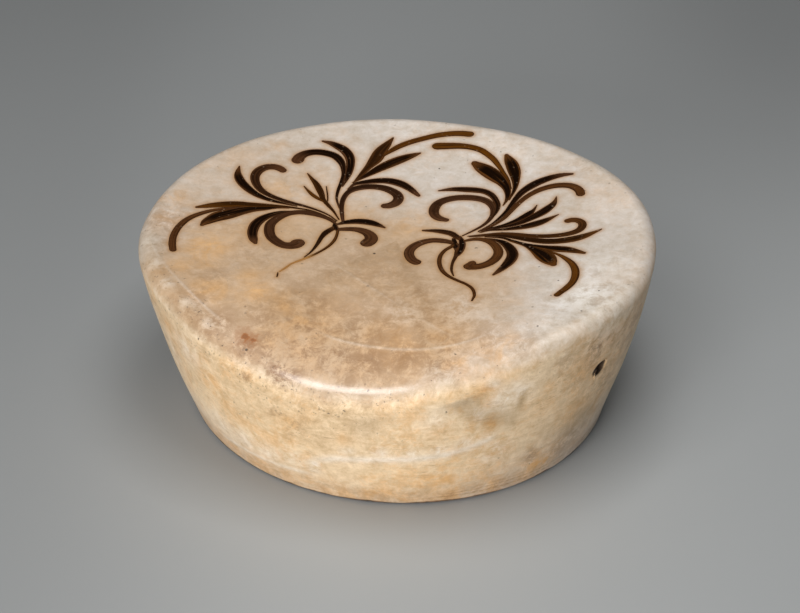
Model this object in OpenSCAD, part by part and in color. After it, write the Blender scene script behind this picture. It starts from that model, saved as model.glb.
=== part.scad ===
// Slab-built ceramic head pillow: a dished oval top whose front edge dips, a flaring wall,
// a flat base, the clay coils that lute them together, and two brush-painted plant sprays.
// The origin is on the table under the middle of the top. +X is the right end, +Y the back, +Z up.

/* [Top face] */
// Length of the top, end to end
top_length = 300; // [260:5:340]
// Depth of the top, front to back
top_depth = 260; // [220:5:290]
// Squareness of the top's oval, where 2 is a plain ellipse
top_squareness = 2.08; // [2:0.02:2.5]
// Mean height of the rim above the table
rim_height = 114; // [95:1:135]
// Rise of the right end, and fall of the left end, where the pillow leans
end_lean = 5.5; // [-8:0.5:8]
// Fall of the back edge
back_fall = 2; // [-4:0.5:6]
// Depth of the dish in the middle of the face
dish_depth = 9; // [2:0.5:14]
// Drop of the front edge at its middle
front_dip = 29; // [5:1:34]
// Reach of the front dip to each side, in degrees round the oval
dip_reach = 56; // [40:2:80]
// How late the dip sets in between the middle and the edge
dip_onset = 3.5; // [2:0.5:5]
// Radius of the rounded shoulder
shoulder_radius = 9; // [5:0.5:11]
// Thickness of the top slab
top_thickness = 12; // [11.5:0.5:18]

/* [Wall and base] */
// Length of the foot, end to end
foot_length = 249; // [210:1:270]
// Depth of the foot, front to back
foot_depth = 228; // [190:1:250]
// Shift of the foot towards the back
foot_shift = 3; // [-6:0.5:6]
// Swelling of the wall past a straight side, halfway up
wall_swell = 2.5; // [0:0.5:6]
// Thickness of the wall strip
wall_thickness = 9; // [6:0.5:14]
// Thickness of the base slab
base_thickness = 10; // [6:0.5:14]
// Rounding of the worn edge of the foot
foot_round = 2; // [0.5:0.25:4]

/* [Luting coils] */
// Width and height of the coil pressed into each inside corner
corner_coil = 9; // [5:0.5:12]
// Thickness of the coil pressed over the wall's upright joint
seam_coil = 6; // [3:0.5:9]
// Place of the wall's upright joint, in degrees round the oval from the right end
seam_angle = 310.5; // [180:4.5:360]

/* [Vent hole] */
// Diameter of the vent hole
vent_diameter = 9; // [5:0.5:14]
// Place of the vent hole, in degrees round the oval from the right end
vent_angle = 334; // [320:1:358]
// Height of the vent hole's middle above the table
vent_height = 76; // [45:1:80]

/* [Painting] */
// Thickness of the pigment along the middle of a stroke
paint_thickness = 0.4; // [0.2:0.05:1]
// Clearance between the pigment and the face under it
paint_seat = 0.05; // [0.02:0.01:0.2]
// Fullness of the brush strokes, as a share of their drawn widths
brush_fullness = 1; // [0.7:0.05:1.3]

/* [Hidden] */

glaze_colour = "#d9c6a6";
clay_colour = "#9a7f66";
pigment_colour = "#3a2213";

// Half sizes of the two ovals
top_half = [top_length / 2, top_depth / 2];
foot_half = [foot_length / 2, foot_depth / 2];
foot_squareness = 2;
front_angle = 270;

// Fineness of the skins: sectors round the oval, and rings from the middle to the rim
sectors = 80;
sector_step = 360 / sectors;
face_rings = [0.12, 0.24, 0.36, 0.48, 0.59, 0.7, 0.79, 0.87];
under_rings = [0.75, 0.55, 0.35, 0.17];
shoulder_steps = 4;
wall_steps = 7;
inner_levels = [1, 0.5, 0];
foot_steps = 3;

// Clay left under the foot until it is cut flat
foot_spare = 1;

// The sprays are drawn on a top of this size, and stretch with the face
drawn_size = [300, 260];
brush_steps = 9;
tip_step = 30;
leaf_skew = 1.5;
leaf_tip = 0.4;
finest_line = 0.4;
finest_tip = 0.08;
aim_step = 0.01;
curl_root = 0.3;
curl_rise = 2;
blob_root = 0.45;
blob_onset = 4;
blob_rise = 3;
tail_taper = 0.75;
vent_fn = 64;
vent_margin = 12;

// Each stroke: its kind, its greatest width, and the points that the brush passes from root to tip
left_strokes = [
    ["curl", 6, [[-36, 12], [-43, 33], [-46, 54], [-52, 73], [-66, 79], [-76, 76], [-78, 67]]],
    ["leaf", 5.5, [[-44, 46], [-44, 64], [-49, 79], [-58, 87], [-69, 91]]],
    ["leaf", 7, [[-40, 54], [-35, 68], [-31, 84], [-27, 102]]],
    ["curl", 5, [[-39, 55], [-31, 74], [-22, 91], [-10, 102], [4, 110], [20, 114]]],
    ["leaf", 6.5, [[-39, 55], [-29, 68], [-18, 80], [-7, 91]]],
    ["leaf", 5.5, [[-41, 42], [-37, 53], [-25, 59], [-11, 58], [2, 47]]],
    ["curl", 5.5, [[-35, 12], [-41, 29], [-39, 45], [-26, 53], [-12, 49], [-9, 40], [-16, 34]]],
    ["leaf", 3, [[-38, 16], [-48, 28], [-58, 43], [-69, 56]]],
    ["leaf", 2, [[-46, 25], [-57, 34], [-67, 43]]],
    ["curl", 5.5, [[-37, 12], [-52, 21], [-68, 24], [-84, 29], [-95, 39], [-98, 50], [-92, 57], [-84, 55]]],
    ["leaf", 5, [[-58, 22], [-78, 23], [-93, 28], [-104, 38], [-110, 52]]],
    ["leaf", 6, [[-37, 12], [-52, 18], [-70, 19], [-92, 14], [-108, 10], [-123, 3]]],
    ["leaf", 9, [[-62, 19], [-80, 14], [-95, 6], [-106, -4], [-114, -15]]],
    ["curl", 4, [[-100, 9], [-113, 3], [-122, -9], [-126, -24], [-124, -36], [-120, -45]]],
    ["blob", 8, [[-38, 8], [-47, 16], [-60, 17], [-72, 9], [-76, -3], [-71, -15], [-61, -20], [-55, -16]]],
    ["leaf", 6.5, [[-54, 18], [-70, 15], [-81, 6], [-84, -6], [-78, -23]]],
    ["leaf", 4.5, [[-38, 8], [-29, 14], [-19, 16], [-10, 11]]],
    ["blob", 8, [[-40, 1], [-32, 5], [-22, 6], [-16, 0], [-16, -8]]],
    ["tail", 2.5, [[-36, 9], [-42, -1], [-43, -14], [-46, -28]]],
    ["tail", 2, [[-38, 5], [-35, -8], [-40, -22], [-49, -35], [-56, -47]]],
    ["tail", 1.2, [[-57, -50], [-57, -54]]],
    ["leaf", 4.5, [[-42, 0], [-38, 6], [-34, 13]]]
];
right_strokes = [
    ["curl", 5.5, [[54, 42], [54, 62], [47, 77], [36, 93], [21, 101], [0, 100]]],
    ["leaf", 8, [[55, 44], [54, 60], [46, 71], [36, 80], [26, 87]]],
    ["leaf", 7, [[56, 48], [57, 66], [54, 82], [45, 97]]],
    ["leaf", 4.5, [[48, 26], [51, 41], [45, 53], [31, 59], [12, 54]]],
    ["curl", 5, [[36, 10], [46, 21], [49, 34], [44, 46], [32, 51], [19, 46], [14, 36], [17, 28], [25, 25]]],
    ["leaf", 5, [[41, 13], [54, 29], [59, 50], [66, 66], [76, 75], [89, 80]]],
    ["curl", 5, [[46, 17], [57, 33], [62, 49], [71, 62], [84, 68], [94, 66], [97, 59]]],
    ["leaf", 4, [[46, 16], [60, 23], [69, 33], [74, 46]]],
    ["leaf", 5, [[48, 16], [66, 25], [79, 38], [83, 56]]],
    ["leaf", 5, [[44, 15], [62, 19], [76, 25], [88, 37]]],
    ["curl", 4.5, [[38, 9], [56, 14], [74, 14], [92, 16], [102, 23], [103, 30], [99, 33], [93, 31]]],
    ["leaf", 6, [[44, 11], [66, 13], [86, 10], [101, 12], [115, 25]]],
    ["leaf", 5, [[52, 10], [74, 6], [91, 3], [110, -1]]],
    ["leaf", 8.5, [[60, 9], [76, 4], [87, -6], [95, -15]]],
    ["curl", 4, [[87, 0], [99, -7], [106, -17], [108, -29], [101, -47]]],
    ["blob", 7, [[37, 5], [47, 8], [56, 4], [61, -6], [57, -17], [47, -20]]],
    ["leaf", 6, [[48, 9], [62, 4], [70, -7], [68, -19], [62, -30]]],
    ["leaf", 4.5, [[38, 4], [31, 11], [22, 14], [11, 12]]],
    ["curl", 5.5, [[37, 1], [26, 4], [15, 0], [10, -9], [12, -18], [18, -21]]],
    ["tail", 2.5, [[35, 2], [29, -7], [30, -21], [39, -33], [50, -40], [57, -57]]],
    ["tail", 2.5, [[36, 4], [38, -9], [37, -21], [41, -34]]],
    ["leaf", 2.5, [[37, 8], [40, 0], [40, -9]]],
    ["leaf", 5, [[33, 11], [36, 4], [38, -4]]]
];

// Ovals
function signed_power(v, p) = sign(v) * pow(abs(v), p);
function oval(half, squareness, angle) = [
    half.x * signed_power(cos(angle), 2 / squareness),
    half.y * signed_power(sin(angle), 2 / squareness)
];
function inset(half, amount) = [half.x - amount, half.y - amount];

// Form of the top face: a leaning rim, a shallow dish, and a front edge that dips
function from_front(angle) = abs((angle - front_angle + 540) % 360 - 180);
function dip(angle) = from_front(angle) < dip_reach ? (1 + cos(180 * from_front(angle) / dip_reach)) / 2 : 0;
function face_z(angle, share) =
    let (p = oval([share, share], top_squareness, angle))
    rim_height + end_lean * p.x - back_fall * p.y
        - dish_depth * (1 - pow(share, 2)) - front_dip * dip(angle) * pow(share, dip_onset);
function face_point(angle, share, drop = 0) =
    let (p = oval(top_half * share, top_squareness, angle))
    [p.x, p.y, face_z(angle, share) - drop];

// The same face over a place in plan
function plan_share(p) =
    let (
        across = pow(abs(p.x) / top_half.x, top_squareness),
        deep = pow(abs(p.y) / top_half.y, top_squareness)
    )
    pow(across + deep, 1 / top_squareness);
function plan_angle(p) = atan2(
    signed_power(p.y / top_half.y, top_squareness / 2),
    signed_power(p.x / top_half.x, top_squareness / 2)
);
function face_height(p) = face_z((plan_angle(p) + 360) % 360, plan_share(p));

// Form of the wall: from the foot's oval to the top's, with a slight swell
function shoulder_z(angle) = face_z(angle, 1) - shoulder_radius;
function joint_z(angle) = face_z(angle, 1) - top_thickness;
function wall_point(angle, z, depth = 0) =
    let (
        up = z / shoulder_z(angle),
        half = foot_half * (1 - up) + top_half * up,
        squareness = foot_squareness * (1 - up) + top_squareness * up,
        p = oval(inset(half, depth - 4 * wall_swell * up * (1 - up)), squareness, angle)
    )
    [p.x, p.y + foot_shift * (1 - up), z];
function between(low, high, share) = low + (high - low) * share;
function inner_height(angle, share) =
    between(base_thickness + corner_coil, joint_z(angle) - corner_coil, share);

// Rings of points round the oval, shared by the pieces that touch there
angles = [for (i = [0 : sectors - 1]) i * sector_step];
function face_ring(share, drop = 0) = [for (a = angles) face_point(a, share, drop)];
function shoulder_ring(turn) =
    let (share_x = 1 - shoulder_radius * (1 - cos(turn)) / top_half.x)
    [for (a = angles)
        let (p = oval(inset(top_half, shoulder_radius * (1 - cos(turn))), top_squareness, a))
        [p.x, p.y, face_z(a, share_x) - shoulder_radius * (1 - sin(turn))]];
function under_edge_ring() =
    let (edge = wall_thickness + corner_coil)
    [for (a = angles)
        let (p = oval(inset(top_half, edge), top_squareness, a))
        [p.x, p.y, face_z(a, plan_share(p)) - top_thickness]];
function joint_ring(depth) = [for (a = angles) wall_point(a, joint_z(a), depth)];
function level_ring(z, depth) = [for (a = angles) wall_point(a, z, depth)];
function outer_ring(share) = [for (a = angles) wall_point(a, between(base_thickness, joint_z(a), share))];
function inner_ring(share) = [for (a = angles) wall_point(a, inner_height(a, share), wall_thickness)];

// Skins over rings. A four-sided gap is split along its shorter diagonal, so that faces that
// touch are split alike.
function joined(lists) = [for (list = lists) for (item = list) item];
function split(points, a, b, c, d) =
    norm(points[a] - points[c]) < norm(points[b] - points[d])
        ? [[a, b, c], [a, c, d]]
        : [[a, b, d], [b, c, d]];
function band(points, n, i, j) = joined([
    for (k = [0 : n - 1])
        let (next = (k + 1) % n)
        split(points, i * n + k, i * n + next, j * n + next, j * n + k)
]);
function turned(faces) = [for (f = faces) [f[2], f[1], f[0]]];
function fan(pole, start, n, turned) = [
    for (k = [0 : n - 1])
        let (next = (k + 1) % n)
        turned ? [pole, start + next, start + k] : [pole, start + k, start + next]
];

// A closed tube of rings, listed anticlockwise in the section on the right end
module tube_skin(rings) {
    n = len(rings[0]);
    points = joined(rings);
    faces = joined([for (i = [0 : len(rings) - 1]) band(points, n, i, (i + 1) % len(rings))]);
    polyhedron(points, turned(faces), convexity = 6);
}

// A closed body of rings from its upper pole to its lower pole, listed clockwise in that section
module pole_skin(upper, rings, lower) {
    n = len(rings[0]);
    points = concat(joined(rings), [upper, lower]);
    bands = joined([for (i = [0 : len(rings) - 2]) band(points, n, i, i + 1)]);
    caps = concat(
        fan(len(points) - 2, 0, n, true),
        fan(len(points) - 1, (len(rings) - 1) * n, n, false)
    );
    polyhedron(points, concat(bands, caps), convexity = 6);
}

module top_slab() {
    upper = face_point(0, 0);
    lower = face_point(0, 0, top_thickness);
    rings = concat(
        [for (share = face_rings) face_ring(share)],
        [for (i = [shoulder_steps : -1 : 0]) shoulder_ring(i * 90 / shoulder_steps)],
        [joint_ring(0), joint_ring(wall_thickness), under_edge_ring()],
        [for (share = under_rings) face_ring(share, top_thickness)]
    );
    color(glaze_colour) pole_skin(upper, rings, lower);
}

module wall_strip() {
    outer = [for (i = [0 : wall_steps]) outer_ring(i / wall_steps)];
    inner = concat(
        [joint_ring(wall_thickness)],
        [for (share = inner_levels) inner_ring(share)],
        [level_ring(base_thickness, wall_thickness)]
    );
    color(glaze_colour) difference() {
        tube_skin(concat(outer, inner));
        vent_bore();
    }
}

// The vent is pierced level, along the length of the pillow
module vent_bore() {
    translate(wall_point(vent_angle, vent_height) - [wall_thickness + vent_margin, 0, 0])
        rotate([0, 90, 0])
            cylinder(d = vent_diameter, h = wall_thickness + 2 * vent_margin, $fn = vent_fn);
}

// The base is rounded at its worn edge and cut flat where it meets the table
module base_slab() {
    rounding = [for (i = [0 : foot_steps - 1]) i * 90 / foot_steps];
    rings = concat(
        [level_ring(base_thickness, 0)],
        [for (turn = rounding) level_ring(foot_round * (1 - sin(turn)), foot_round * (1 - cos(turn)))],
        [level_ring(-foot_spare, foot_round)]
    );
    color(clay_colour) difference() {
        pole_skin([0, foot_shift, base_thickness], rings, [0, foot_shift, -foot_spare]);
        translate([-top_length / 2, -top_depth / 2, -2 * foot_spare])
            cube([top_length, top_depth, 2 * foot_spare]);
    }
}

// Coils pressed into the corners, with a slightly swollen free face
module upper_luting_coil() {
    corner = joint_ring(wall_thickness);
    wall_edge = inner_ring(1);
    face_edge = under_edge_ring();
    color(clay_colour) tube_skin([corner, face_edge, swollen(corner, wall_edge, face_edge), wall_edge]);
}

module lower_luting_coil() {
    corner = level_ring(base_thickness, wall_thickness);
    wall_edge = inner_ring(0);
    face_edge = level_ring(base_thickness, wall_thickness + corner_coil);
    color(clay_colour) tube_skin([corner, wall_edge, swollen(corner, wall_edge, face_edge), face_edge]);
}

// A ring on the free face of a corner coil, two thirds of the way out from the corner
coil_swell = 2 / 3;
function swollen(corner, a, b) = [
    for (k = [0 : sectors - 1]) corner[k] + coil_swell * (a[k] - corner[k] + b[k] - corner[k])
];

// The upright coil covers one sector of the wall on each side of its joint. Its crest is three
// points, each a share of a sector and of the coil's thickness.
seam_crest = [[0.6, 0.7], [0, 1], [-0.6, 0.7]];
module wall_seam_coil() {
    middle = round(seam_angle / sector_step) * sector_step;
    rings = [
        for (share = inner_levels)
            concat(
                [for (i = [-1 : 1]) seam_point(middle + i * sector_step, share, 0)],
                [for (c = seam_crest) seam_point(middle + c[0] * sector_step, share, c[1] * seam_coil)]
            )
    ];
    n = len(rings[0]);
    points = joined(rings);
    bands = joined([for (i = [0 : len(rings) - 2]) band(points, n, i, i + 1)]);
    last = (len(rings) - 1) * n;
    upper_cap = [for (k = [1 : n - 2]) [0, k + 1, k]];
    lower_cap = [for (k = [1 : n - 2]) [last, last + k, last + k + 1]];
    color(clay_colour) polyhedron(points, concat(bands, upper_cap, lower_cap), convexity = 4);
}
function seam_point(angle, share, depth) =
    wall_point(angle, inner_height(angle, share), wall_thickness + depth);

// A brush stroke: a smooth path through its points, with a width that follows its kind
function sum(values, i = 0) = i == len(values) ? 0 : values[i] + sum(values, i + 1);
function path_length(points) = sum([for (i = [1 : len(points) - 1]) norm(points[i] - points[i - 1])]);
function smooth(p0, p1, p2, p3, f) =
    let (
        slope = p2 - p0,
        bend = 2 * p0 - 5 * p1 + 4 * p2 - p3,
        twist = 3 * p1 - p0 - 3 * p2 + p3
    )
    p1 + (slope * f + bend * pow(f, 2) + twist * pow(f, 3)) / 2;
function path(points, s) =
    let (
        last = len(points) - 1,
        i = min(floor(s * last), last - 1),
        before = i == 0 ? 2 * points[0] - points[1] : points[i - 1],
        after = i == last - 1 ? 2 * points[last] - points[last - 1] : points[i + 2]
    )
    smooth(before, points[i], points[i + 1], after, s * last - i);
function brush(kind, s) =
    kind == "leaf" ? sin(180 * pow(s, leaf_skew))
    : kind == "curl" ? min(1, between(curl_root, 1, curl_rise * s))
    : kind == "blob" ? between(blob_root, 1, pow(s, blob_onset)) * min(1, blob_rise * s + curl_root)
    : 1 - tail_taper * s;
function is_round(kind) = kind == "curl" || kind == "blob";

// Sections of a stroke: left edge, crest and right edge, laid on the face
function on_face(p, lift) = [p.x, p.y, face_height(p) + paint_seat + lift];
function stretched(p) = [p.x * top_length / drawn_size.x, p.y * top_depth / drawn_size.y];
function stroke_section(points, s, half_width) =
    let (
        ahead = path(points, min(1, s + aim_step)) - path(points, max(0, s - aim_step)),
        side = half_width * [-ahead.y, ahead.x] / norm(ahead),
        middle = path(points, s)
    )
    [on_face(middle + side, 0), on_face(middle, paint_thickness), on_face(middle - side, 0)];
function stroke_sections(kind, width, points) =
    let (
        tip = (is_round(kind) ? width / 2 : leaf_tip) / path_length(points),
        run = [for (i = [0 : brush_steps]) [i / brush_steps * (1 - tip), 1]],
        cap = [for (turn = [tip_step : tip_step : 90]) [1 - tip * (1 - sin(turn)), cos(turn)]]
    )
    [for (station = concat(run, cap))
        let (
            drawn = width / 2 * brush_fullness * brush(kind, station[0]) * station[1],
            finest = finest_line * station[1] + finest_tip
        )
        stroke_section(points, station[0], max(finest, drawn))];

module stroke(kind, width, drawn_points) {
    rings = stroke_sections(kind, width, [for (p = drawn_points) stretched(p)]);
    n = len(rings[0]);
    points = joined(rings);
    bands = joined([for (i = [0 : len(rings) - 2]) band(points, n, i, i + 1)]);
    last = (len(rings) - 1) * n;
    faces = concat(bands, [[0, 2, 1]], [[last, last + 1, last + 2]]);
    polyhedron(points, turned(faces), convexity = 4);
}

module spray(strokes) {
    color(pigment_colour) union() {
        for (s = strokes) stroke(s[0], s[1], s[2]);
    }
}

module left_spray() {
    spray(left_strokes);
}

module right_spray() {
    spray(right_strokes);
}

top_slab();
wall_strip();
base_slab();
upper_luting_coil();
lower_luting_coil();
wall_seam_coil();
left_spray();
right_spray();
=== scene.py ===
import math

import bmesh
import bpy
import numpy as np
from bpy.props import FloatProperty, FloatVectorProperty, PointerProperty
from bpy.types import Operator, Panel, PropertyGroup
from mathutils import Color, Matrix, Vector


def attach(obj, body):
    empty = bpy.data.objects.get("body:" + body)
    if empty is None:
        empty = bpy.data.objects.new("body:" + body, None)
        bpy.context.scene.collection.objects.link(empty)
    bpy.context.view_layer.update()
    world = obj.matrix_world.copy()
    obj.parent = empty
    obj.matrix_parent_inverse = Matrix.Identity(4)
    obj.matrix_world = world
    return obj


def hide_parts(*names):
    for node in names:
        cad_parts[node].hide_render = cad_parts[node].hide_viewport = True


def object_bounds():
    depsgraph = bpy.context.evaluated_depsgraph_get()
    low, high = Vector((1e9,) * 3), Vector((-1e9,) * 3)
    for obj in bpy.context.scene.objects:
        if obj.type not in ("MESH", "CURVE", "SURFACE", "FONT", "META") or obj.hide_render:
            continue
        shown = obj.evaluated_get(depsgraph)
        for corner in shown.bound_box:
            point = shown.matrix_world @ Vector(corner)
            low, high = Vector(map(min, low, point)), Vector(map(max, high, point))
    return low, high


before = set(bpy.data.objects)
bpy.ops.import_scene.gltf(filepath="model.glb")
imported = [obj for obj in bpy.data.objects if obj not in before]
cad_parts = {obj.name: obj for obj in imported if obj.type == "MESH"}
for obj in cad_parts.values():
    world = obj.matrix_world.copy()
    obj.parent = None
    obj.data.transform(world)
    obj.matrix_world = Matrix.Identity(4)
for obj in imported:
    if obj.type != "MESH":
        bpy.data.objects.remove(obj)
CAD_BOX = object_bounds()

bl_info = {
    "name": "Ceramic head pillow",
    "version": (1, 0, 0),
    "blender": (4, 5, 0),
    "location": "View3D > Sidebar > Pillow",
    "description": "Dresses a slab-built head pillow in slip, glaze and brushwork",
    "category": "Add Mesh",
}

MM = 0.001
ROOT = "root"
FRONT_TURN = 270.0

# Unevenness of hand work: the room left for it inside the CAD box, the size of its marks, and the heights
# between which it sets in, because the foot stands flat
HAND_ROOM = 0.5 * MM
HAND_MARK = 70 * MM
HAND_NONE_BELOW = 0.3 * MM
HAND_FULL_ABOVE = 9 * MM
CAD_SIZE = CAD_BOX[1] - CAD_BOX[0]

# Fineness of the pieces
TOP_COLUMNS = 528
FACE_RINGS = 150
SHOULDER_RINGS = 18
BAND_RINGS = 4
UNDER_RINGS = 8
WALL_COLUMNS = 720
WALL_RINGS = 64
WALL_INNER_RINGS = 12
BASE_COLUMNS = 720
BASE_SIDE_RINGS = 16
FOOT_ROUND_RINGS = 5
FOOT_FLAT_RINGS = 16
BASE_TOP_RINGS = 4

# Slope of the wall under the shoulder, and the softness of the change between them
SHOULDER_SLOPE = 0.148
SHOULDER_EASE = 0.9 * MM

# The vent: how far round it the wall is made finer, against its radius, how fine, and its rounded lip
VENT_FINE_REACH = 2.2
VENT_CUTS = 3
VENT_BORE_RINGS = 8
VENT_LIP = 1.1 * MM
VENT_LIP_CELLS = 4

# Brush strokes: breadth against the drawn one, least half width, and fineness
STROKE_BREADTH = 1.12
STROKE_LEAST = 0.2 * MM
STATION_STEP = 0.7 * MM
SPAN_STEPS = 24
CAP_STATIONS = 6
ACROSS_CELLS = 10

# Lift of the strokes over the face and of each stroke over the one before it, share of the thickness that is
# left at an edge, shift of the streaks from stroke to stroke, and reach of the iron that has bled out
FACE_LIFT = 0.02 * MM
ORDER_LIFT = 0.004 * MM
EDGE_THICKNESS = 0.1
RUN_APART = 0.37
HALO_REACH = 1.3 * MM

# Edges sharper than this are shaded sharp
SMOOTH_ANGLE = math.radians(40)
BRUSH_SMOOTH_ANGLE = math.radians(60)

# Density of the pits that lie anywhere, and how strongly a shade of the glaze acts on red, green and blue
STRAY_GRIT = 0.014
SHADE_POWERS = (0.80, 1.0, 1.35)

# Stage: paper floor, how much its painted shade darkens its dark side, camera sensor, and lamps with place, size and
# power
FLOOR_RADIUS = 12
FLOOR_SIDES = 96
FLOOR_PAINTED_SHADE = 0.21
BLACK = (0, 0, 0, 1)
SENSOR_WIDTH = 36
LAMP_TARGET = (0, 0, 0.06)
LAMPS = [
    ("overhead_panel", (0.14, -0.06, 1.20), (0.6, 0.6), 7.5),
    ("high_front_panel", (-0.335, -0.68, 1.21), (0.6, 0.65), 4.5),
    ("front_panel", (-0.24, -1.58, 0.50), (1.15, 0.7), 24.3),
]

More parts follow.
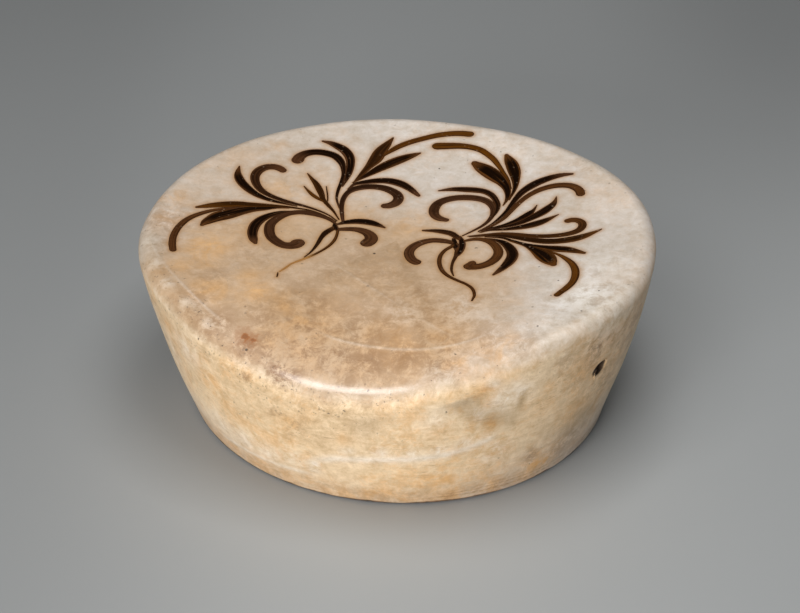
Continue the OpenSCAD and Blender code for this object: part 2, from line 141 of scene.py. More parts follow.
# Each stroke: load of dark pigment, below zero where the brush ran dry towards the tip, warmth of the thin
# pigment, and the points that the brush passes from root to tip, with the width of the stroke at each, in
# millimetres on the face
LEFT_STROKES = [
    (0.9, 0.1, [
        (-41, 26, 0.9), (-45, 35, 1.4), (-46.3, 43, 1.9), (-46.6, 52, 2.2), (-47.3, 60, 2.4), (-49.4, 67, 3.2),
        (-52.6, 72.6, 4.4), (-57.5, 77, 5), (-64, 78.8, 5.3), (-70, 78.4, 5.4), (-75, 75.8, 5.7),
        (-77.7, 71.8, 6.4), (-78.2, 68.2, 7),
    ]),
    (1.0, 0.2, [
        (-44.8, 48, 0.8), (-44.3, 56, 2.4), (-44.6, 63, 4), (-45.8, 71, 4.8), (-48.4, 78, 5.4),
        (-53, 83.7, 5.6), (-58, 87, 5), (-63, 89.3, 3.5), (-68.3, 90.3, 1.4),
    ]),
    (0.5, 0.6, [
        (-39.5, 53, 0.7), (-36.9, 61.7, 2.6), (-34.3, 70, 4.4), (-31.9, 78.3, 7.3), (-30.8, 86.7, 7),
        (-28.8, 94.2, 4.8), (-26.8, 101.5, 1.2),
    ]),
    (0.1, 0.9, [
        (-28, 82, 0.8), (-25, 88, 3), (-20.8, 94.2, 4), (-15, 100, 4.2), (-8.3, 105, 4.2), (-0.8, 109.6, 4.4),
        (6.7, 112.5, 4.6), (13.3, 113.8, 4.7), (18.8, 113.9, 4.8),
    ]),
    (0.7, 0.5, [
        (-39.8, 53, 0.7), (-35.8, 58.3, 2), (-31.6, 64.2, 4), (-26.6, 70.8, 5.8), (-20.8, 77.3, 6.6),
        (-15, 83, 5.8), (-10, 87.3, 3.5), (-7, 89.8, 1.2),
    ]),
    (0.9, 0.1, [
        (-41, 46, 0.8), (-38.3, 51.7, 2.4), (-34, 54.4, 3.3), (-28.2, 56.9, 4.3), (-21.7, 58.6, 4.9),
        (-15.8, 58.5, 5.4), (-10, 56.7, 5.2), (-4.6, 53.3, 4.2), (-0.4, 49.7, 3), (2, 47.6, 2),
    ]),
    (0.5, 0.0, [
        (-35, 12, 1.6), (-37.5, 19.2, 2.2), (-40, 27.5, 2.6), (-41.1, 35, 2.9), (-40.4, 41.7, 3.2),
        (-37.5, 46.7, 4.2), (-32.5, 50, 4.6), (-26.7, 51.5, 4.6), (-20.4, 51.3, 4.9), (-15, 49.3, 5.2),
        (-10.9, 46.3, 5.5), (-9, 42.3, 5.6), (-9.7, 37.9, 5.6), (-12.5, 34.8, 5), (-15.2, 33.8, 4.3),
    ]),
    (0.5, 0.8, [
        (-38, 14, 0.7), (-43.3, 21.7, 1.4), (-48.3, 27.5, 2.2), (-52.5, 32.5, 2.6), (-55, 37.5, 3.4),
        (-57.9, 42.5, 3.8), (-61.3, 47.5, 3.2), (-65, 51.7, 2), (-68.5, 55.8, 0.7),
    ]),
    (0.2, 1.0, [
        (-51, 30, 0.9), (-56.7, 33.3, 2.2), (-60.8, 36.3, 2.2), (-64.2, 39.6, 1.4), (-67.2, 42.8, 0.6),
    ]),
    (0.0, 1.0, [(-49.6, 31.5, 0.7), (-51.3, 37.5, 0.9), (-54.2, 45.5, 0.5)]),
    (0.5, 0.2, [
        (-39, 12.5, 0.9), (-45, 17.2, 1), (-52, 20.5, 1.3), (-60, 22.9, 1.7), (-68.3, 24.4, 2.2),
        (-75, 25.6, 2.7), (-82.5, 27.7, 3.1), (-89.2, 31, 3.7), (-94.2, 35.8, 4.4), (-97.5, 41.7, 5),
        (-98.4, 47.1, 5.3), (-97, 52.4, 5.3), (-93.7, 56.1, 5.1), (-89.6, 57.4, 5), (-86, 56.6, 4.7),
        (-84, 55.4, 4.2),
    ]),
    (0.9, 0.4, [
        (-66, 22, 0.8), (-73, 22.6, 1.5), (-80, 23.3, 2.4), (-86.7, 24.7, 3.3), (-93.3, 27.6, 4.2),
        (-99.2, 31.7, 5), (-104.2, 36.3, 5.2), (-107.4, 40.8, 4.8), (-109.2, 45.4, 3.2), (-110, 51, 0.8),
    ]),
    (0.5, 0.9, [
        (-39.5, 11.5, 0.7), (-48, 16.6, 0.9), (-57, 19.6, 1.1), (-65, 20, 1.4), (-71.7, 19.6, 2.1),
        (-78.3, 18.4, 3), (-85, 16.8, 4.3), (-93.3, 15, 5), (-99.2, 13.9, 5.5), (-105.8, 11.7, 5.7),
        (-112.5, 8.7, 4.8), (-117.5, 5.8, 3.5), (-121.7, 3.3, 1.7),
    ]),
    (1.0, 0.5, [
        (-70, 18.8, 0.9), (-76.7, 17.2, 1.8), (-83.3, 14.2, 3.6), (-90, 11.4, 5.6), (-96, 7.4, 7.7),
        (-101.7, 2.3, 9.2), (-106.7, -2.3, 9), (-110, -7.2, 6.8), (-112, -11, 4.8), (-112.9, -13.9, 2.4),
    ]),
    (0.1, 0.4, [
        (-98, 10.5, 0.8), (-105, 7.4, 1.7), (-110, 4.2, 2.6), (-115, 0, 3), (-120, -5.8, 3.4),
        (-123.2, -11.7, 3.7), (-124.9, -18.3, 3.8), (-125.3, -25, 3.8), (-124.7, -31.7, 3.8),
        (-123, -38.3, 3.9), (-120.7, -44, 3.7),
    ]),
    (0.3, 0.1, [
        (-38.2, 8, 1.4), (-40.8, 11.2, 2.2), (-45, 13.9, 2.8), (-50.7, 15.8, 3.3), (-56.6, 16.8, 4),
        (-63, 16.2, 4), (-69, 12.8, 4.2), (-73, 7.1, 4.8), (-75.4, 0, 5.4), (-74.4, -7.1, 5.6),
        (-71.4, -13.5, 5.6), (-67.1, -17.5, 5.6), (-62.6, -20, 5.7), (-58.4, -20, 6.4), (-55.6, -18.2, 7.4),
        (-54.7, -16.2, 7.6),
    ]),
    (1.0, 0.2, [
        (-64, 17, 0.8), (-72.5, 13.4, 2.6), (-77.5, 9.2, 4), (-81.6, 3.3, 5.2), (-83.6, -3.3, 5.8),
        (-83.4, -10, 5.6), (-82, -15.4, 5.1), (-80, -19.6, 4.3), (-78.2, -22.4, 2.2),
    ]),
    (0.9, 0.2, [
        (-38, 8.7, 1.4), (-33.6, 12.1, 3.4), (-28.6, 14.3, 4.6), (-23.6, 15.3, 5.1), (-18.6, 15, 4.8),
        (-14.3, 13.7, 3.4), (-10, 11.8, 1.2),
    ]),
    (0.2, 0.2, [
        (-36.5, 3.6, 2.6), (-32.1, 5, 3.4), (-27.9, 6, 3.9), (-23.6, 6, 4.7), (-19.3, 4.5, 5.6),
        (-16.1, 1.7, 6.4), (-14.6, -1.8, 7), (-15, -4.8, 7.4), (-15.8, -6.8, 7.2),
    ]),
    (0.6, 0.4, [
        (-38.6, 5, 3.2), (-41.7, -0.7, 3.6), (-43, -6.4, 2.7), (-43.3, -12.9, 2.2), (-43.9, -19.3, 1.6),
        (-45, -25, 1.1), (-46.8, -30, 0.6),
    ]),
    (-0.3, 0.8, [
        (-35.8, 3, 1.6), (-35, -2.9, 1.6), (-35, -8.6, 1.8), (-36.4, -15, 1.7), (-39.3, -21.4, 1.5),
        (-43.6, -28.2, 1.4), (-48.6, -34.3, 1.2), (-52.1, -38.6, 0.9), (-54.3, -43.6, 1), (-56.4, -47.9, 0.5),
    ]),
    (0.4, 0.6, [(-57, -49.3, 0.5), (-56.6, -51.3, 0.9), (-56.4, -53.3, 0.6)]),
    (0.7, 0.0, [(-39.4, 9, 1.8), (-37.9, 5, 3.4), (-35.8, 2.8, 1.8)]),
]
RIGHT_STROKES = [
    (0.0, 1.0, [
        (55, 62, 0.8), (51.5, 71.1, 1.6), (47.1, 78.4, 2.2), (42.8, 85, 2.9), (38.6, 90.8, 3.5),
        (33.8, 95.4, 3.8), (28.3, 99.3, 4.2), (21.7, 101.2, 4.6), (15, 101.3, 5.2), (8.3, 100.2, 5.9),
        (2, 98.9, 6.2),
    ]),
    (1.0, 0.6, [
        (53.8, 44, 0.7), (54.7, 50, 2), (54.2, 56, 3.2), (52.2, 62.3, 4.6), (48.4, 68.3, 6.6), (43, 73.9, 9),
        (37.4, 78.8, 9.3), (32.4, 82.4, 7.6), (28.2, 85.5, 4.2),
    ]),
    (1.0, 0.6, [
        (56.3, 50, 0.7), (57.1, 59.7, 2), (56.8, 66.3, 3.3), (55.5, 73, 5), (53.4, 80, 6.9), (50.7, 86.6, 7.1),
        (48, 91.3, 5.6), (45.6, 95.4, 2.6),
    ]),
    (0.7, 0.3, [
        (46.6, 23, 0.6), (50, 31.5, 1.2), (51.2, 38, 2), (50.6, 44, 3), (48, 49.6, 3.4), (44.5, 54.3, 3.9),
        (39.8, 57.4, 4.4), (34.2, 58.3, 4.9), (28.3, 58.2, 4.8), (21.7, 57.6, 3.8), (16.7, 56.2, 2.4),
        (12.8, 54.6, 0.9),
    ]),
    (0.4, 0.1, [
        (36.8, 10, 0.8), (41.7, 15.8, 1.4), (45.8, 21.3, 1.8), (48.3, 26.7, 2.2), (49.5, 32.5, 2.7),
        (49.3, 37.5, 3.3), (47.9, 42, 3.8), (45, 46, 4.3), (40.7, 48.8, 4.7), (35, 50, 5), (28.3, 49.7, 5),
        (22.5, 48, 5), (17.9, 45.1, 5.2), (15.1, 41.3, 5.4), (14.2, 36.8, 5.6), (14.7, 32.4, 5.4),
        (16.5, 28.7, 5), (19.7, 26.2, 4.4), (23.7, 25.2, 3.2),
    ]),
    (0.9, 0.1, [
        (45, 15.8, 0.6), (50.6, 23.2, 1.2), (54.2, 30.5, 1.8), (56.8, 38, 2.2), (58.3, 44.7, 2.7),
        (60, 52.2, 3.4), (62.5, 59.7, 4.4), (66.6, 66.4, 5.3), (71.6, 71.9, 5.3), (77.5, 76.2, 4.6),
        (83.3, 78.8, 3.4), (88.2, 79.8, 1.9),
    ]),
    (0.2, 0.5, [
        (45, 15, 0.6), (52, 22.3, 1.4), (56.6, 30, 2.2), (58.7, 36, 2.5), (60.9, 43, 2.8), (63.7, 50.5, 3.1),
        (67.5, 57.2, 3.5), (72.5, 62.7, 4), (78.3, 66.4, 4.4), (84.2, 67.9, 4.6), (89.2, 67.6, 4.8),
        (93.3, 65.5, 5), (95.8, 62.6, 5), (96.9, 59.7, 4.8),
    ]),
    (0.8, 0.4, [
        (46.5, 15, 0.5), (51, 19.2, 1.2), (58.3, 23.3, 2.2), (64.2, 28.3, 3.2), (68.3, 33.3, 4),
        (70.9, 37.5, 3.7), (72.5, 41, 2), (73.4, 46, 0.5),
    ]),
    (0.9, 0.4, [
        (47, 14.6, 0.6), (55, 20, 1.6), (61.7, 22.8, 2.4), (67.5, 26.8, 3.4), (72.6, 32.4, 4.6),
        (77.3, 38, 5.4), (80, 42.3, 5.2), (82.5, 47.4, 3.9), (83.3, 51.3, 2.2), (83.3, 55.5, 0.6),
    ]),
    (0.7, 0.5, [
        (46, 14.2, 0.5), (51.7, 17.3, 1.3), (60, 19, 2.2), (66.7, 21.2, 3.6), (72.5, 24, 4.8), (77.5, 27.2, 5),
        (81.7, 30.8, 3.8), (85, 34.2, 2), (87.7, 37, 0.6),
    ]),
    (0.4, 0.6, [
        (40, 9.8, 0.6), (50, 12.6, 1.6), (58.3, 14.1, 2.6), (66.7, 14.3, 3), (75, 13.9, 3), (83.3, 14.3, 3.4),
        (90.8, 15.8, 3.6), (97.3, 18.4, 3.8), (101.7, 21.8, 4), (103.5, 25.9, 4.3), (102.8, 30, 4.4),
        (100, 32.3, 4.3), (96.7, 32.4, 4.1), (94.3, 31.2, 3.7),
    ]),
    (0.6, 0.7, [
        (41, 9.2, 0.6), (51.7, 11.5, 1.4), (60, 12.1, 2.4), (68.3, 11.1, 3.4), (76.7, 9.8, 4.3), (85, 9.2, 4.8),
        (92.5, 10.2, 5), (100, 12.8, 5.3), (105.8, 16.2, 4.5), (110.8, 20.5, 2.6), (115, 24.4, 0.7),
    ]),
    (0.9, 0.6, [
        (50, 10, 0.5), (60, 9.8, 1.4), (66.7, 7.2, 2.2), (73.3, 4.8, 2.6), (80, 3.6, 2.8), (86.7, 2.7, 4),
        (93.3, 2, 5.6), (99.2, 1.6, 5.4), (104.2, 0.4, 4), (109.2, -1.2, 2),
    ]),
    (1.0, 0.7, [
        (66, 7, 0.8), (74.5, 3.7, 2.4), (79.2, 0.9, 4.6), (83.3, -1.9, 7.6), (87, -5.2, 9.6), (90.3, -9.3, 8.8),
        (92.8, -12.6, 6.2), (94.1, -14.4, 3.6),
    ]),
    (0.0, 0.9, [
        (88, 0, 0.7), (95.8, -4.5, 2), (100.8, -8.7, 3), (104.6, -13.3, 3.6), (107.3, -19.2, 4),
        (108.4, -25.8, 4), (107.9, -32.5, 3.8), (105.8, -38.3, 3.7), (103.3, -43.3, 3.4), (101.8, -46.3, 3.2),
    ]),
    (0.1, 0.5, [
        (38.5, 4.4, 1.7), (44.2, 7.1, 2.8), (49.2, 7.2, 3.2), (54.2, 5, 4), (58.3, 0.8, 4.8), (60.7, -4.2, 5),
        (61, -9.2, 5.2), (59.5, -14.2, 5.2), (56.6, -18.2, 5.2), (52.5, -21.1, 5.4), (48, -21.5, 6.6),
    ]),
    (0.0, 0.4, [(47.6, -21.4, 6.4), (48.3, -18.2, 4.4)]),
    (1.0, 0.3, [
        (50, 8.6, 0.6), (56.7, 7.4, 2), (61.7, 4.9, 4), (65.8, 0.8, 5.3), (68.6, -4.2, 5.9), (69.6, -9.2, 6),
        (68.7, -15, 5.6), (66.7, -20.8, 4.2), (64.6, -25.4, 2.8), (62.8, -28.9, 1.4),
    ]),
    (0.6, 0.3, [
        (37, 5.3, 2), (33.3, 8.8, 3.4), (29.2, 11.7, 4), (24.2, 12.9, 3.8), (19.2, 13.2, 2.8),
        (12.8, 12.7, 1.3),
    ]),
    (0.1, 0.2, [
        (35.5, 0.4, 2.4), (30.8, 2.6, 3.4), (25.8, 3.5, 4), (20.8, 3.3, 4.2), (16.2, 1.2, 4.6), (12.5, -2.5, 5),
        (10.3, -7.5, 5.2), (10.3, -12.5, 5.2), (12.1, -17, 5.2), (14.6, -20.2, 5.2), (16.7, -21.5, 5.1),
    ]),
    (0.3, 0.6, [
        (33.6, -1, 2.6), (30, -6.7, 2.2), (28.8, -13.3, 2.3), (30, -20.8, 2.3), (33.3, -28.3, 2.3),
        (38.3, -33.8, 2), (44.2, -37.5, 1.8), (50, -40.8, 1.7), (54.2, -45, 1.7), (56.5, -50.8, 1.6),
        (56.3, -56.3, 1),
    ]),
    (0.5, 0.4, [
        (36.7, -4, 2.4), (37.5, -11.7, 2.2), (37.3, -19.2, 1.6), (38.3, -26.7, 1.4), (40.8, -32.9, 0.7),
    ]),
    (1.0, 0.1, [(35.6, 8.6, 1.6), (37.9, 3.3, 3.4), (39, -2.5, 3.6), (38.8, -8.3, 2.8), (37.9, -12.8, 0.9)]),
    (0.8, 0.1, [(32.4, 6.2, 2), (34.2, 0.9, 3.2), (36.3, -4.4, 2.4)]),
]

# Soft places on the face (x, y, radius, strength) and on the wall (turn, height, radius, strength)
FACE_STAINS = [
    (-105, -34, 13, 0.85), (-101, -48, 10, 0.65), (-65, -70, 10, 0.85), (-72, -57, 9, 0.5), (-88, -78, 14, 0.6),
    (-30, -90, 20, 0.5), (-112, -58, 9, 0.6), (-60, 40, 12, 0.4), (-45, -78, 12, 0.5), (-80, -8, 14, 0.3),
    (-146, 8, 6, 0.7), (4, 16, 11, 0.45), (18, 24, 9, 0.3), (-80, 36, 14, 0.35), (-94, 79, 6, 0.4),
    (-137, 10, 9, 0.6), (76, -102, 13, 0.8), (60, -108, 10, 0.7), (20, -92, 20, 0.5), (46, -90, 14, 0.5),
    (84, -92, 9, 0.5), (-30, 22, 14, 0.25), (110, 60, 18, 0.2), (0, 20, 14, 0.25), (-118, -62, 10, 0.3),
    (40, -76, 14, 0.25), (-48, -104, 9, 0.4), (87, -95, 9, 0.6), (-134, -12, 15, 0.5),
]
FACE_SMUDGES = [
    (-57, -110, 10, 0.95), (-44, -108, 12, 0.9), (-28, -108, 13, 0.85), (-10, -107, 14, 0.8),
    (10, -106, 15, 0.75), (30, -103, 15, 0.7), (50, -98, 14, 0.6), (-76, -99, 12, 0.8), (-30, -92, 14, 0.55),
    (-94, -85, 11, 0.55), (70, -90, 14, 0.45), (0, -88, 16, 0.45), (-55, -90, 13, 0.5), (-132, -14, 10, 0.45),
    (-126, -34, 9, 0.35), (-12, -74, 9, 0.45), (-6, -84, 9, 0.55), (12, -60, 12, 0.35), (-40, -60, 16, 0.3),
    (0, -40, 20, 0.25), (-92, -62, 10, 0.3), (-30, -40, 14, 0.25), (-20, -18, 12, 0.25), (26, -50, 14, 0.3),
    (-75, -30, 14, 0.2), (95, 92, 9, 0.25), (-100, 0, 14, 0.2), (0, -98, 38, 0.55), (40, -84, 30, 0.35),
    (-134, -14, 15, 0.45), (-30, -72, 14, 0.5), (30, -72, 13, 0.4), (50, -105, 13, 0.7), (90, -92, 12, 0.35),
    (-36, -120, 7, 1.8), (-28, -121, 5, 1.2),
]
# Pale places on the face: worn slip along the left rim, and a painted sheen on the right towards the front
FACE_PALES_AND_SHEEN = [
    (-138, -40, 5, 0.5), (-126, -61, 5, 0.55), (-113, -77, 5, 0.5), (-98, -91, 5, 0.5), (-82, -102, 4, 0.4),
    (55, -62, 14, 0.3), (119, -48, 22, 0.95), (126, -16, 18, 0.4), (106, -74, 12, 0.5), (20, -72, 10, 0.25),
    (-92, -92, 5, 0.35), (40, 96, 20, 0.3), (-20, 110, 18, 0.25),
]
WALL_STAINS = [
    (303, 64, 5, 1.3), (302, 70, 4, 0.6), (301, 82, 4, 0.6), (300, 92, 7, 0.7), (262, 69, 7, 0.5),
    (258, 62, 8, 0.4), (270, 57, 6, 0.4), (292, 22, 14, 0.4), (276, 12, 14, 0.3), (262, 8, 12, 0.5),
    (245, 8, 12, 0.5), (230, 10, 10, 0.4), (318, 68, 14, 0.35), (326, 88, 12, 0.35), (235, 66, 12, 0.3),
    (248, 86, 8, 0.3), (290, 66, 8, 0.3), (305, 30, 16, 0.35), (328, 50, 16, 0.4), (318, 10, 14, 0.5),
    (296, 7, 12, 0.6), (340, 70, 18, 0.3), (222, 84, 9, 0.3), (320, 15, 16, 0.9), (305, 10, 12, 0.7),
    (335, 95, 10, 0.6),
]
WALL_SMUDGES = [
    (255, 66, 5, 0.5), (259, 54, 5, 0.35), (317, 25, 5, 0.8), (316, 31, 3, 0.6), (249, 86, 4, 0.9),
    (331, 96, 12, 0.8), (326, 78, 10, 0.3), (260, 60, 9, 0.35), (338, 60, 14, 0.4), (310, 6, 10, 0.4),
    (330, 20, 14, 0.5), (345, 85, 16, 0.4), (280, 5, 9, 0.35), (250, 4, 9, 0.35), (268, 86, 6, 0.35),
    (320, 98, 9, 0.4),
]
FACE_FRECKLES = [(-37, -119, 6, 1.0), (-30, -121, 5, 0.9), (-16, -123, 4, 0.6)]
WALL_FRECKLES = [
    (264, 64, 5, 0.9), (262, 56, 4, 0.6), (277, 70, 5, 0.6), (282, 78, 4, 0.5), (317.5, 26, 4, 1.0),
    (316.5, 19, 3, 0.8), (256, 66, 4, 0.7), (270, 57, 4, 0.6), (306, 35, 3, 0.5), (331, 96, 6, 0.5),
]
WALL_PALES = [
    (271, 46, 4, 0.5), (278, 48, 4.5, 0.6), (285, 48, 4.5, 0.65), (291, 49, 4.5, 0.65), (297, 52, 5, 0.65),
    (302, 55, 4, 0.4), (305, 85, 9, 0.6), (305, 42, 10, 0.45), (290, 75, 9, 0.25), (262.5, 30, 4, 0.7),
    (262, 24, 4, 0.5), (257, 30, 8, 0.35), (250, 27, 9, 0.4), (242, 28, 10, 0.4), (234, 30, 10, 0.3),
    (301.5, 98, 5, 0.6), (307, 92, 6, 0.3), (299, 76, 5, 0.3), (221, 62, 5, 0.3), (309, 86, 7, 0.5),
    (206, 70, 14, 0.5), (216, 62, 14, 0.35), (229, 80, 12, 0.45),
]

# Burst iron specks and pinholes on the face: place, radius, raggedness
RUST_SPOTS = [((-59.5, -104.5), 3.0, 2.2), ((-55.5, -105.5), 1.9, 2.4)]
PINHOLES = [
    ((-57, -112), 1.0, 0.5), ((-56.5, -118), 0.6, 0.4), ((-80, -103), 0.7, 0.5), ((-31, -119), 0.8, 0.8),
    ((4, -119.5), 0.7, 0.8), ((23, -118), 0.7, 0.6), ((62, -107), 0.6, 0.6), ((52, 5), 0.6, 0.4),
    ((100, -31), 0.7, 0.8), ((8, 77), 0.6, 0.8), ((-26, 31), 0.8, 1.0), ((97, -78), 0.8, 0.8),
    ((118, -62), 0.8, 0.8), ((124, -40), 0.6, 0.8), ((-9, -17), 0.9, 1.0),
]

# Thin lines that making left, in millimetres: height or depth, half breadth, and the points they pass
FACE_LINES = [
    (0.15, 0.9, [(-24, -92), (-10, -95.5), (6, -97.5), (26, -98), (46, -96), (62, -91), (74, -83)]),
    (0.16, 1.0, [(-141, -30), (-131, -47), (-119, -62), (-104, -77), (-88, -90), (-72, -100)]),
    (0.08, 0.8, [(-36, -27), (-12, -44), (12, -61), (38, -79), (60, -92)]),
]
WALL_LINES = [
    (-0.25, 0.8, [(309, 14), (309, 40), (308.5, 62), (309.5, 84), (307, 94)]),
    (0.3, 3.0, [(260, 30), (268, 39), (278, 43), (290, 45.5), (300, 51), (306, 56)]),
    (0.25, 2.0, [(229, 16), (245, 18), (264, 19)]),
    (-0.25, 0.6, [(286, 5.4), (300, 5.6), (316, 5.2), (332, 5)]),
    (-0.22, 0.6, [(292, 8.2), (306, 8.6), (322, 8), (334, 7.6)]),
    (-0.16, 0.6, [(300, 11), (312, 11.4), (326, 10.6)]),
]


def signed_power(value, power):
    """A power that keeps the sign."""
    return np.sign(value) * np.abs(value) ** power


def ease(value, low, high):
    """A smooth step from 0 at low to 1 at high."""
    share = np.clip((value - low) / (high - low), 0, 1)
    return share * share * (3 - 2 * share)


def hump(value, middle, breadth):
    """A soft hump, 1 in its middle."""
    return np.exp(-(((value - middle) / breadth) ** 2))


def turn_from(turn, middle):
    """How far a turn lies from a middle one either way, in degrees."""
    return np.abs((turn - middle + 540) % 360 - 180)


def even_turns(columns):
    return np.arange(columns) * 360 / columns


def oval(half_x, half_y, squareness, turn):
    """A point on an oval, at a turn in degrees from the right end."""
    angle = np.radians(turn)
    return (
        half_x * signed_power(np.cos(angle), 2 / squareness),
        half_y * signed_power(np.sin(angle), 2 / squareness),
    )


def linear(colour):
    """A colour as it is seen on a screen, in the linear values that a shader takes."""
    made = [c / 12.92 if c <= 0.04045 else ((c + 0.055) / 1.055) ** 2.4 for c in colour]
    return (*made, 1.0)


def length_value(name, description, default):
    return FloatProperty(name=name, description=description, default=default, min=0, unit="LENGTH", precision=4)


def shift_value(name, description, default):
    return FloatProperty(name=name, description=description, default=default, unit="LENGTH", precision=4)


def angle_value(name, description, degrees):
    return FloatProperty(name=name, description=description, default=math.radians(degrees), subtype="ANGLE")


def colour_value(name, description, red, green, blue):
    return FloatVectorProperty(
        name=name, description=description, subtype="COLOR_GAMMA", size=3, min=0, max=1,
        default=(red / 255, green / 255, blue / 255),
    )


class PillowForm(PropertyGroup):
    """Sizes of the pillow, from which every piece is shaped."""

    top_length: length_value("Top length", "Length of the top, end to end", CAD_SIZE.x - 2 * HAND_ROOM)
    top_depth: length_value("Top depth", "Depth of the top, front to back", CAD_SIZE.y - 2 * HAND_ROOM)
    top_squareness: FloatProperty(
        name="Squareness", description="Squareness of the top's oval, where 2 is an ellipse",
        default=2.08, min=2, max=3,
    )
    rim_height: length_value("Rim height", "Mean height of the rim above the table", 0.114 - HAND_ROOM)
    end_lean: shift_value("End lean", "Rise of the right end and fall of the left end", 0.0055)
    back_fall: shift_value("Back fall", "Fall of the back edge", 0.002)
    dish_depth: length_value("Dish depth", "Depth of the dish in the middle of the face", 0.009)
    front_dip: length_value("Front dip", "Drop of the front edge at its middle", 0.029)
    dip_reach: angle_value("Dip reach", "Reach of the front dip to each side", 56)
    dip_onset: FloatProperty(
        name="Dip onset", description="How late the dip sets in between middle and edge",
        default=3.5, min=1, max=8,
    )
    shoulder_radius: length_value("Shoulder radius", "Radius of the rounded shoulder", 0.009)
    top_thickness: length_value("Top thickness", "Thickness of the top slab", 0.012)
    foot_length: length_value("Foot length", "Length of the foot, end to end", 0.249)
    foot_depth: length_value("Foot depth", "Depth of the foot, front to back", 0.228)
    foot_shift: shift_value("Foot shift", "Shift of the foot towards the back", 0.003)
    wall_swell: length_value("Wall swell", "Swelling of the wall past a straight side", 0.0025)
    wall_thickness: length_value("Wall thickness", "Thickness of the wall strip", 0.009)
    base_thickness: length_value("Base thickness", "Thickness of the base slab", 0.010)
    foot_round: length_value("Foot rounding", "Rounding of the worn edge of the foot", 0.002)
    vent_diameter: length_value("Vent diameter", "Diameter of the vent hole", 0.009)
    vent_turn: angle_value("Vent place", "Place of the vent round the oval", 334)
    vent_height: length_value("Vent height", "Height of the vent's middle above the table", 0.076)
    unevenness: length_value("Unevenness", "Depth of the marks that pressing by hand left", 0.0022)
    pigment_thickness: length_value("Pigment thickness", "Thickness of the pigment along a stroke", 0.0003)

    def top_half(self):
        return self.top_length / 2, self.top_depth / 2

    def dip(self, turn):
        away = turn_from(turn, FRONT_TURN)
        reach = math.degrees(self.dip_reach)
        return np.where(away < reach, (1 + np.cos(np.pi * away / reach)) / 2, 0)

    def face_z(self, turn, share):
        across, deep = oval(share, share, self.top_squareness, turn)
        rim = self.rim_height + self.end_lean * across - self.back_fall * deep
        return rim - self.dish_depth * (1 - share**2) - self.front_dip * self.dip(turn) * share**self.dip_onset

    def plan(self, x, y):
        """Turn and share of a place in plan."""
        a, b = self.top_half()
        n = self.top_squareness
        share = (np.abs(x / a) ** n + np.abs(y / b) ** n) ** (1 / n)
        turn = np.degrees(np.arctan2(signed_power(y / b, n / 2), signed_power(x / a, n / 2)))
        return turn % 360, share

    def face_place(self, x, y):
        """The place on the face over a place in plan."""
        return x, y, self.face_z(*self.plan(x, y))

    def shoulder_z(self, turn):
        return self.face_z(turn, 1.0) - self.shoulder_radius

    def joint_z(self, turn):
        return self.face_z(turn, 1.0) - self.top_thickness

    def crease_ease(self, drop):
        """The inset that rounds the change of slope where the shoulder meets the wall."""
        past = np.abs(drop - self.shoulder_radius) / SHOULDER_EASE
        return SHOULDER_SLOPE * SHOULDER_EASE * np.log1p(np.exp(-past))

    def wall_halves(self, turn, z):
        """Half sizes, squareness and shift of the wall's oval at a height."""
        up = z / self.shoulder_z(turn)
        a, b = self.top_half()
        swell = 4 * self.wall_swell * up * (1 - up) - self.crease_ease(self.face_z(turn, 1.0) - z)
        half_x = self.foot_length / 2 * (1 - up) + a * up + swell
        half_y = self.foot_depth / 2 * (1 - up) + b * up + swell
        return half_x, half_y, 2 * (1 - up) + self.top_squareness * up, self.foot_shift * (1 - up)

    def wall_point(self, turn, z, depth=0.0):
        half_x, half_y, squareness, shift = self.wall_halves(turn, z)
        x, y = oval(half_x - depth, half_y - depth, squareness, turn)
        return x, y + shift, z

    def wall_depth(self, x, y, z):
        """How far a place lies inside the outer face of the wall."""
        turn, _ = self.plan(x, y)
        half_x, half_y, n, shift = self.wall_halves(turn, z)
        share = (np.abs(x / half_x) ** n + np.abs((y - shift) / half_y) ** n) ** (1 / n)
        return (1 - share) * (half_x + half_y) / 2

    def vent_place(self):
        """The vent's middle in the end view."""
        return self.wall_point(math.degrees(self.vent_turn), self.vent_height)[1:]

    def wall_x(self, y, z):
        """The right-hand outer face of the wall, over a place in the end view."""
        half_x, half_y, n, shift = self.wall_halves(math.degrees(self.vent_turn), z)
        return half_x * (1 - np.abs((y - shift) / half_y) ** n) ** (1 / n)

    def top_grid(self):
        """Rings of the top from the middle of the face, over the shoulder, to the middle of the underside."""
        turn = even_turns(TOP_COLUMNS)
        a, b = self.top_half()
        r = self.shoulder_radius
        edge = 1 - r / a
        rings = []
        for share in np.linspace(0, edge, FACE_RINGS + 1):
            slip = (b * edge - (b - r)) * ease(share, 0.75, edge)
            x, y = oval(a * share, b * share - slip, self.top_squareness, turn)
            rings.append((x, y, self.face_z(turn, share)))
        for tilt in np.linspace(math.pi / 2, 0, SHOULDER_RINGS + 1)[1:]:
            drop = r * (1 - math.sin(tilt))
            inset = r * (1 - math.cos(tilt))
            eased = inset + self.crease_ease(drop)
            x, y = oval(a - eased, b - eased, self.top_squareness, turn)
            rings.append((x, y, self.face_z(turn, 1 - inset / a) - drop))
        for drop in np.linspace(r, self.top_thickness, BAND_RINGS + 1)[1:]:
            rings.append(self.wall_point(turn, self.face_z(turn, 1.0) - drop))
        rings.append(self.wall_point(turn, self.joint_z(turn), self.wall_thickness))
        under_edge = 1 - 2 * self.wall_thickness / a
        for share in np.linspace(under_edge, 0, UNDER_RINGS + 1):
            x, y = oval(a * share, b * share, self.top_squareness, turn)
            rings.append((x, y, self.face_z(turn, share) - self.top_thickness))
        return np.array(rings).transpose(0, 2, 1)

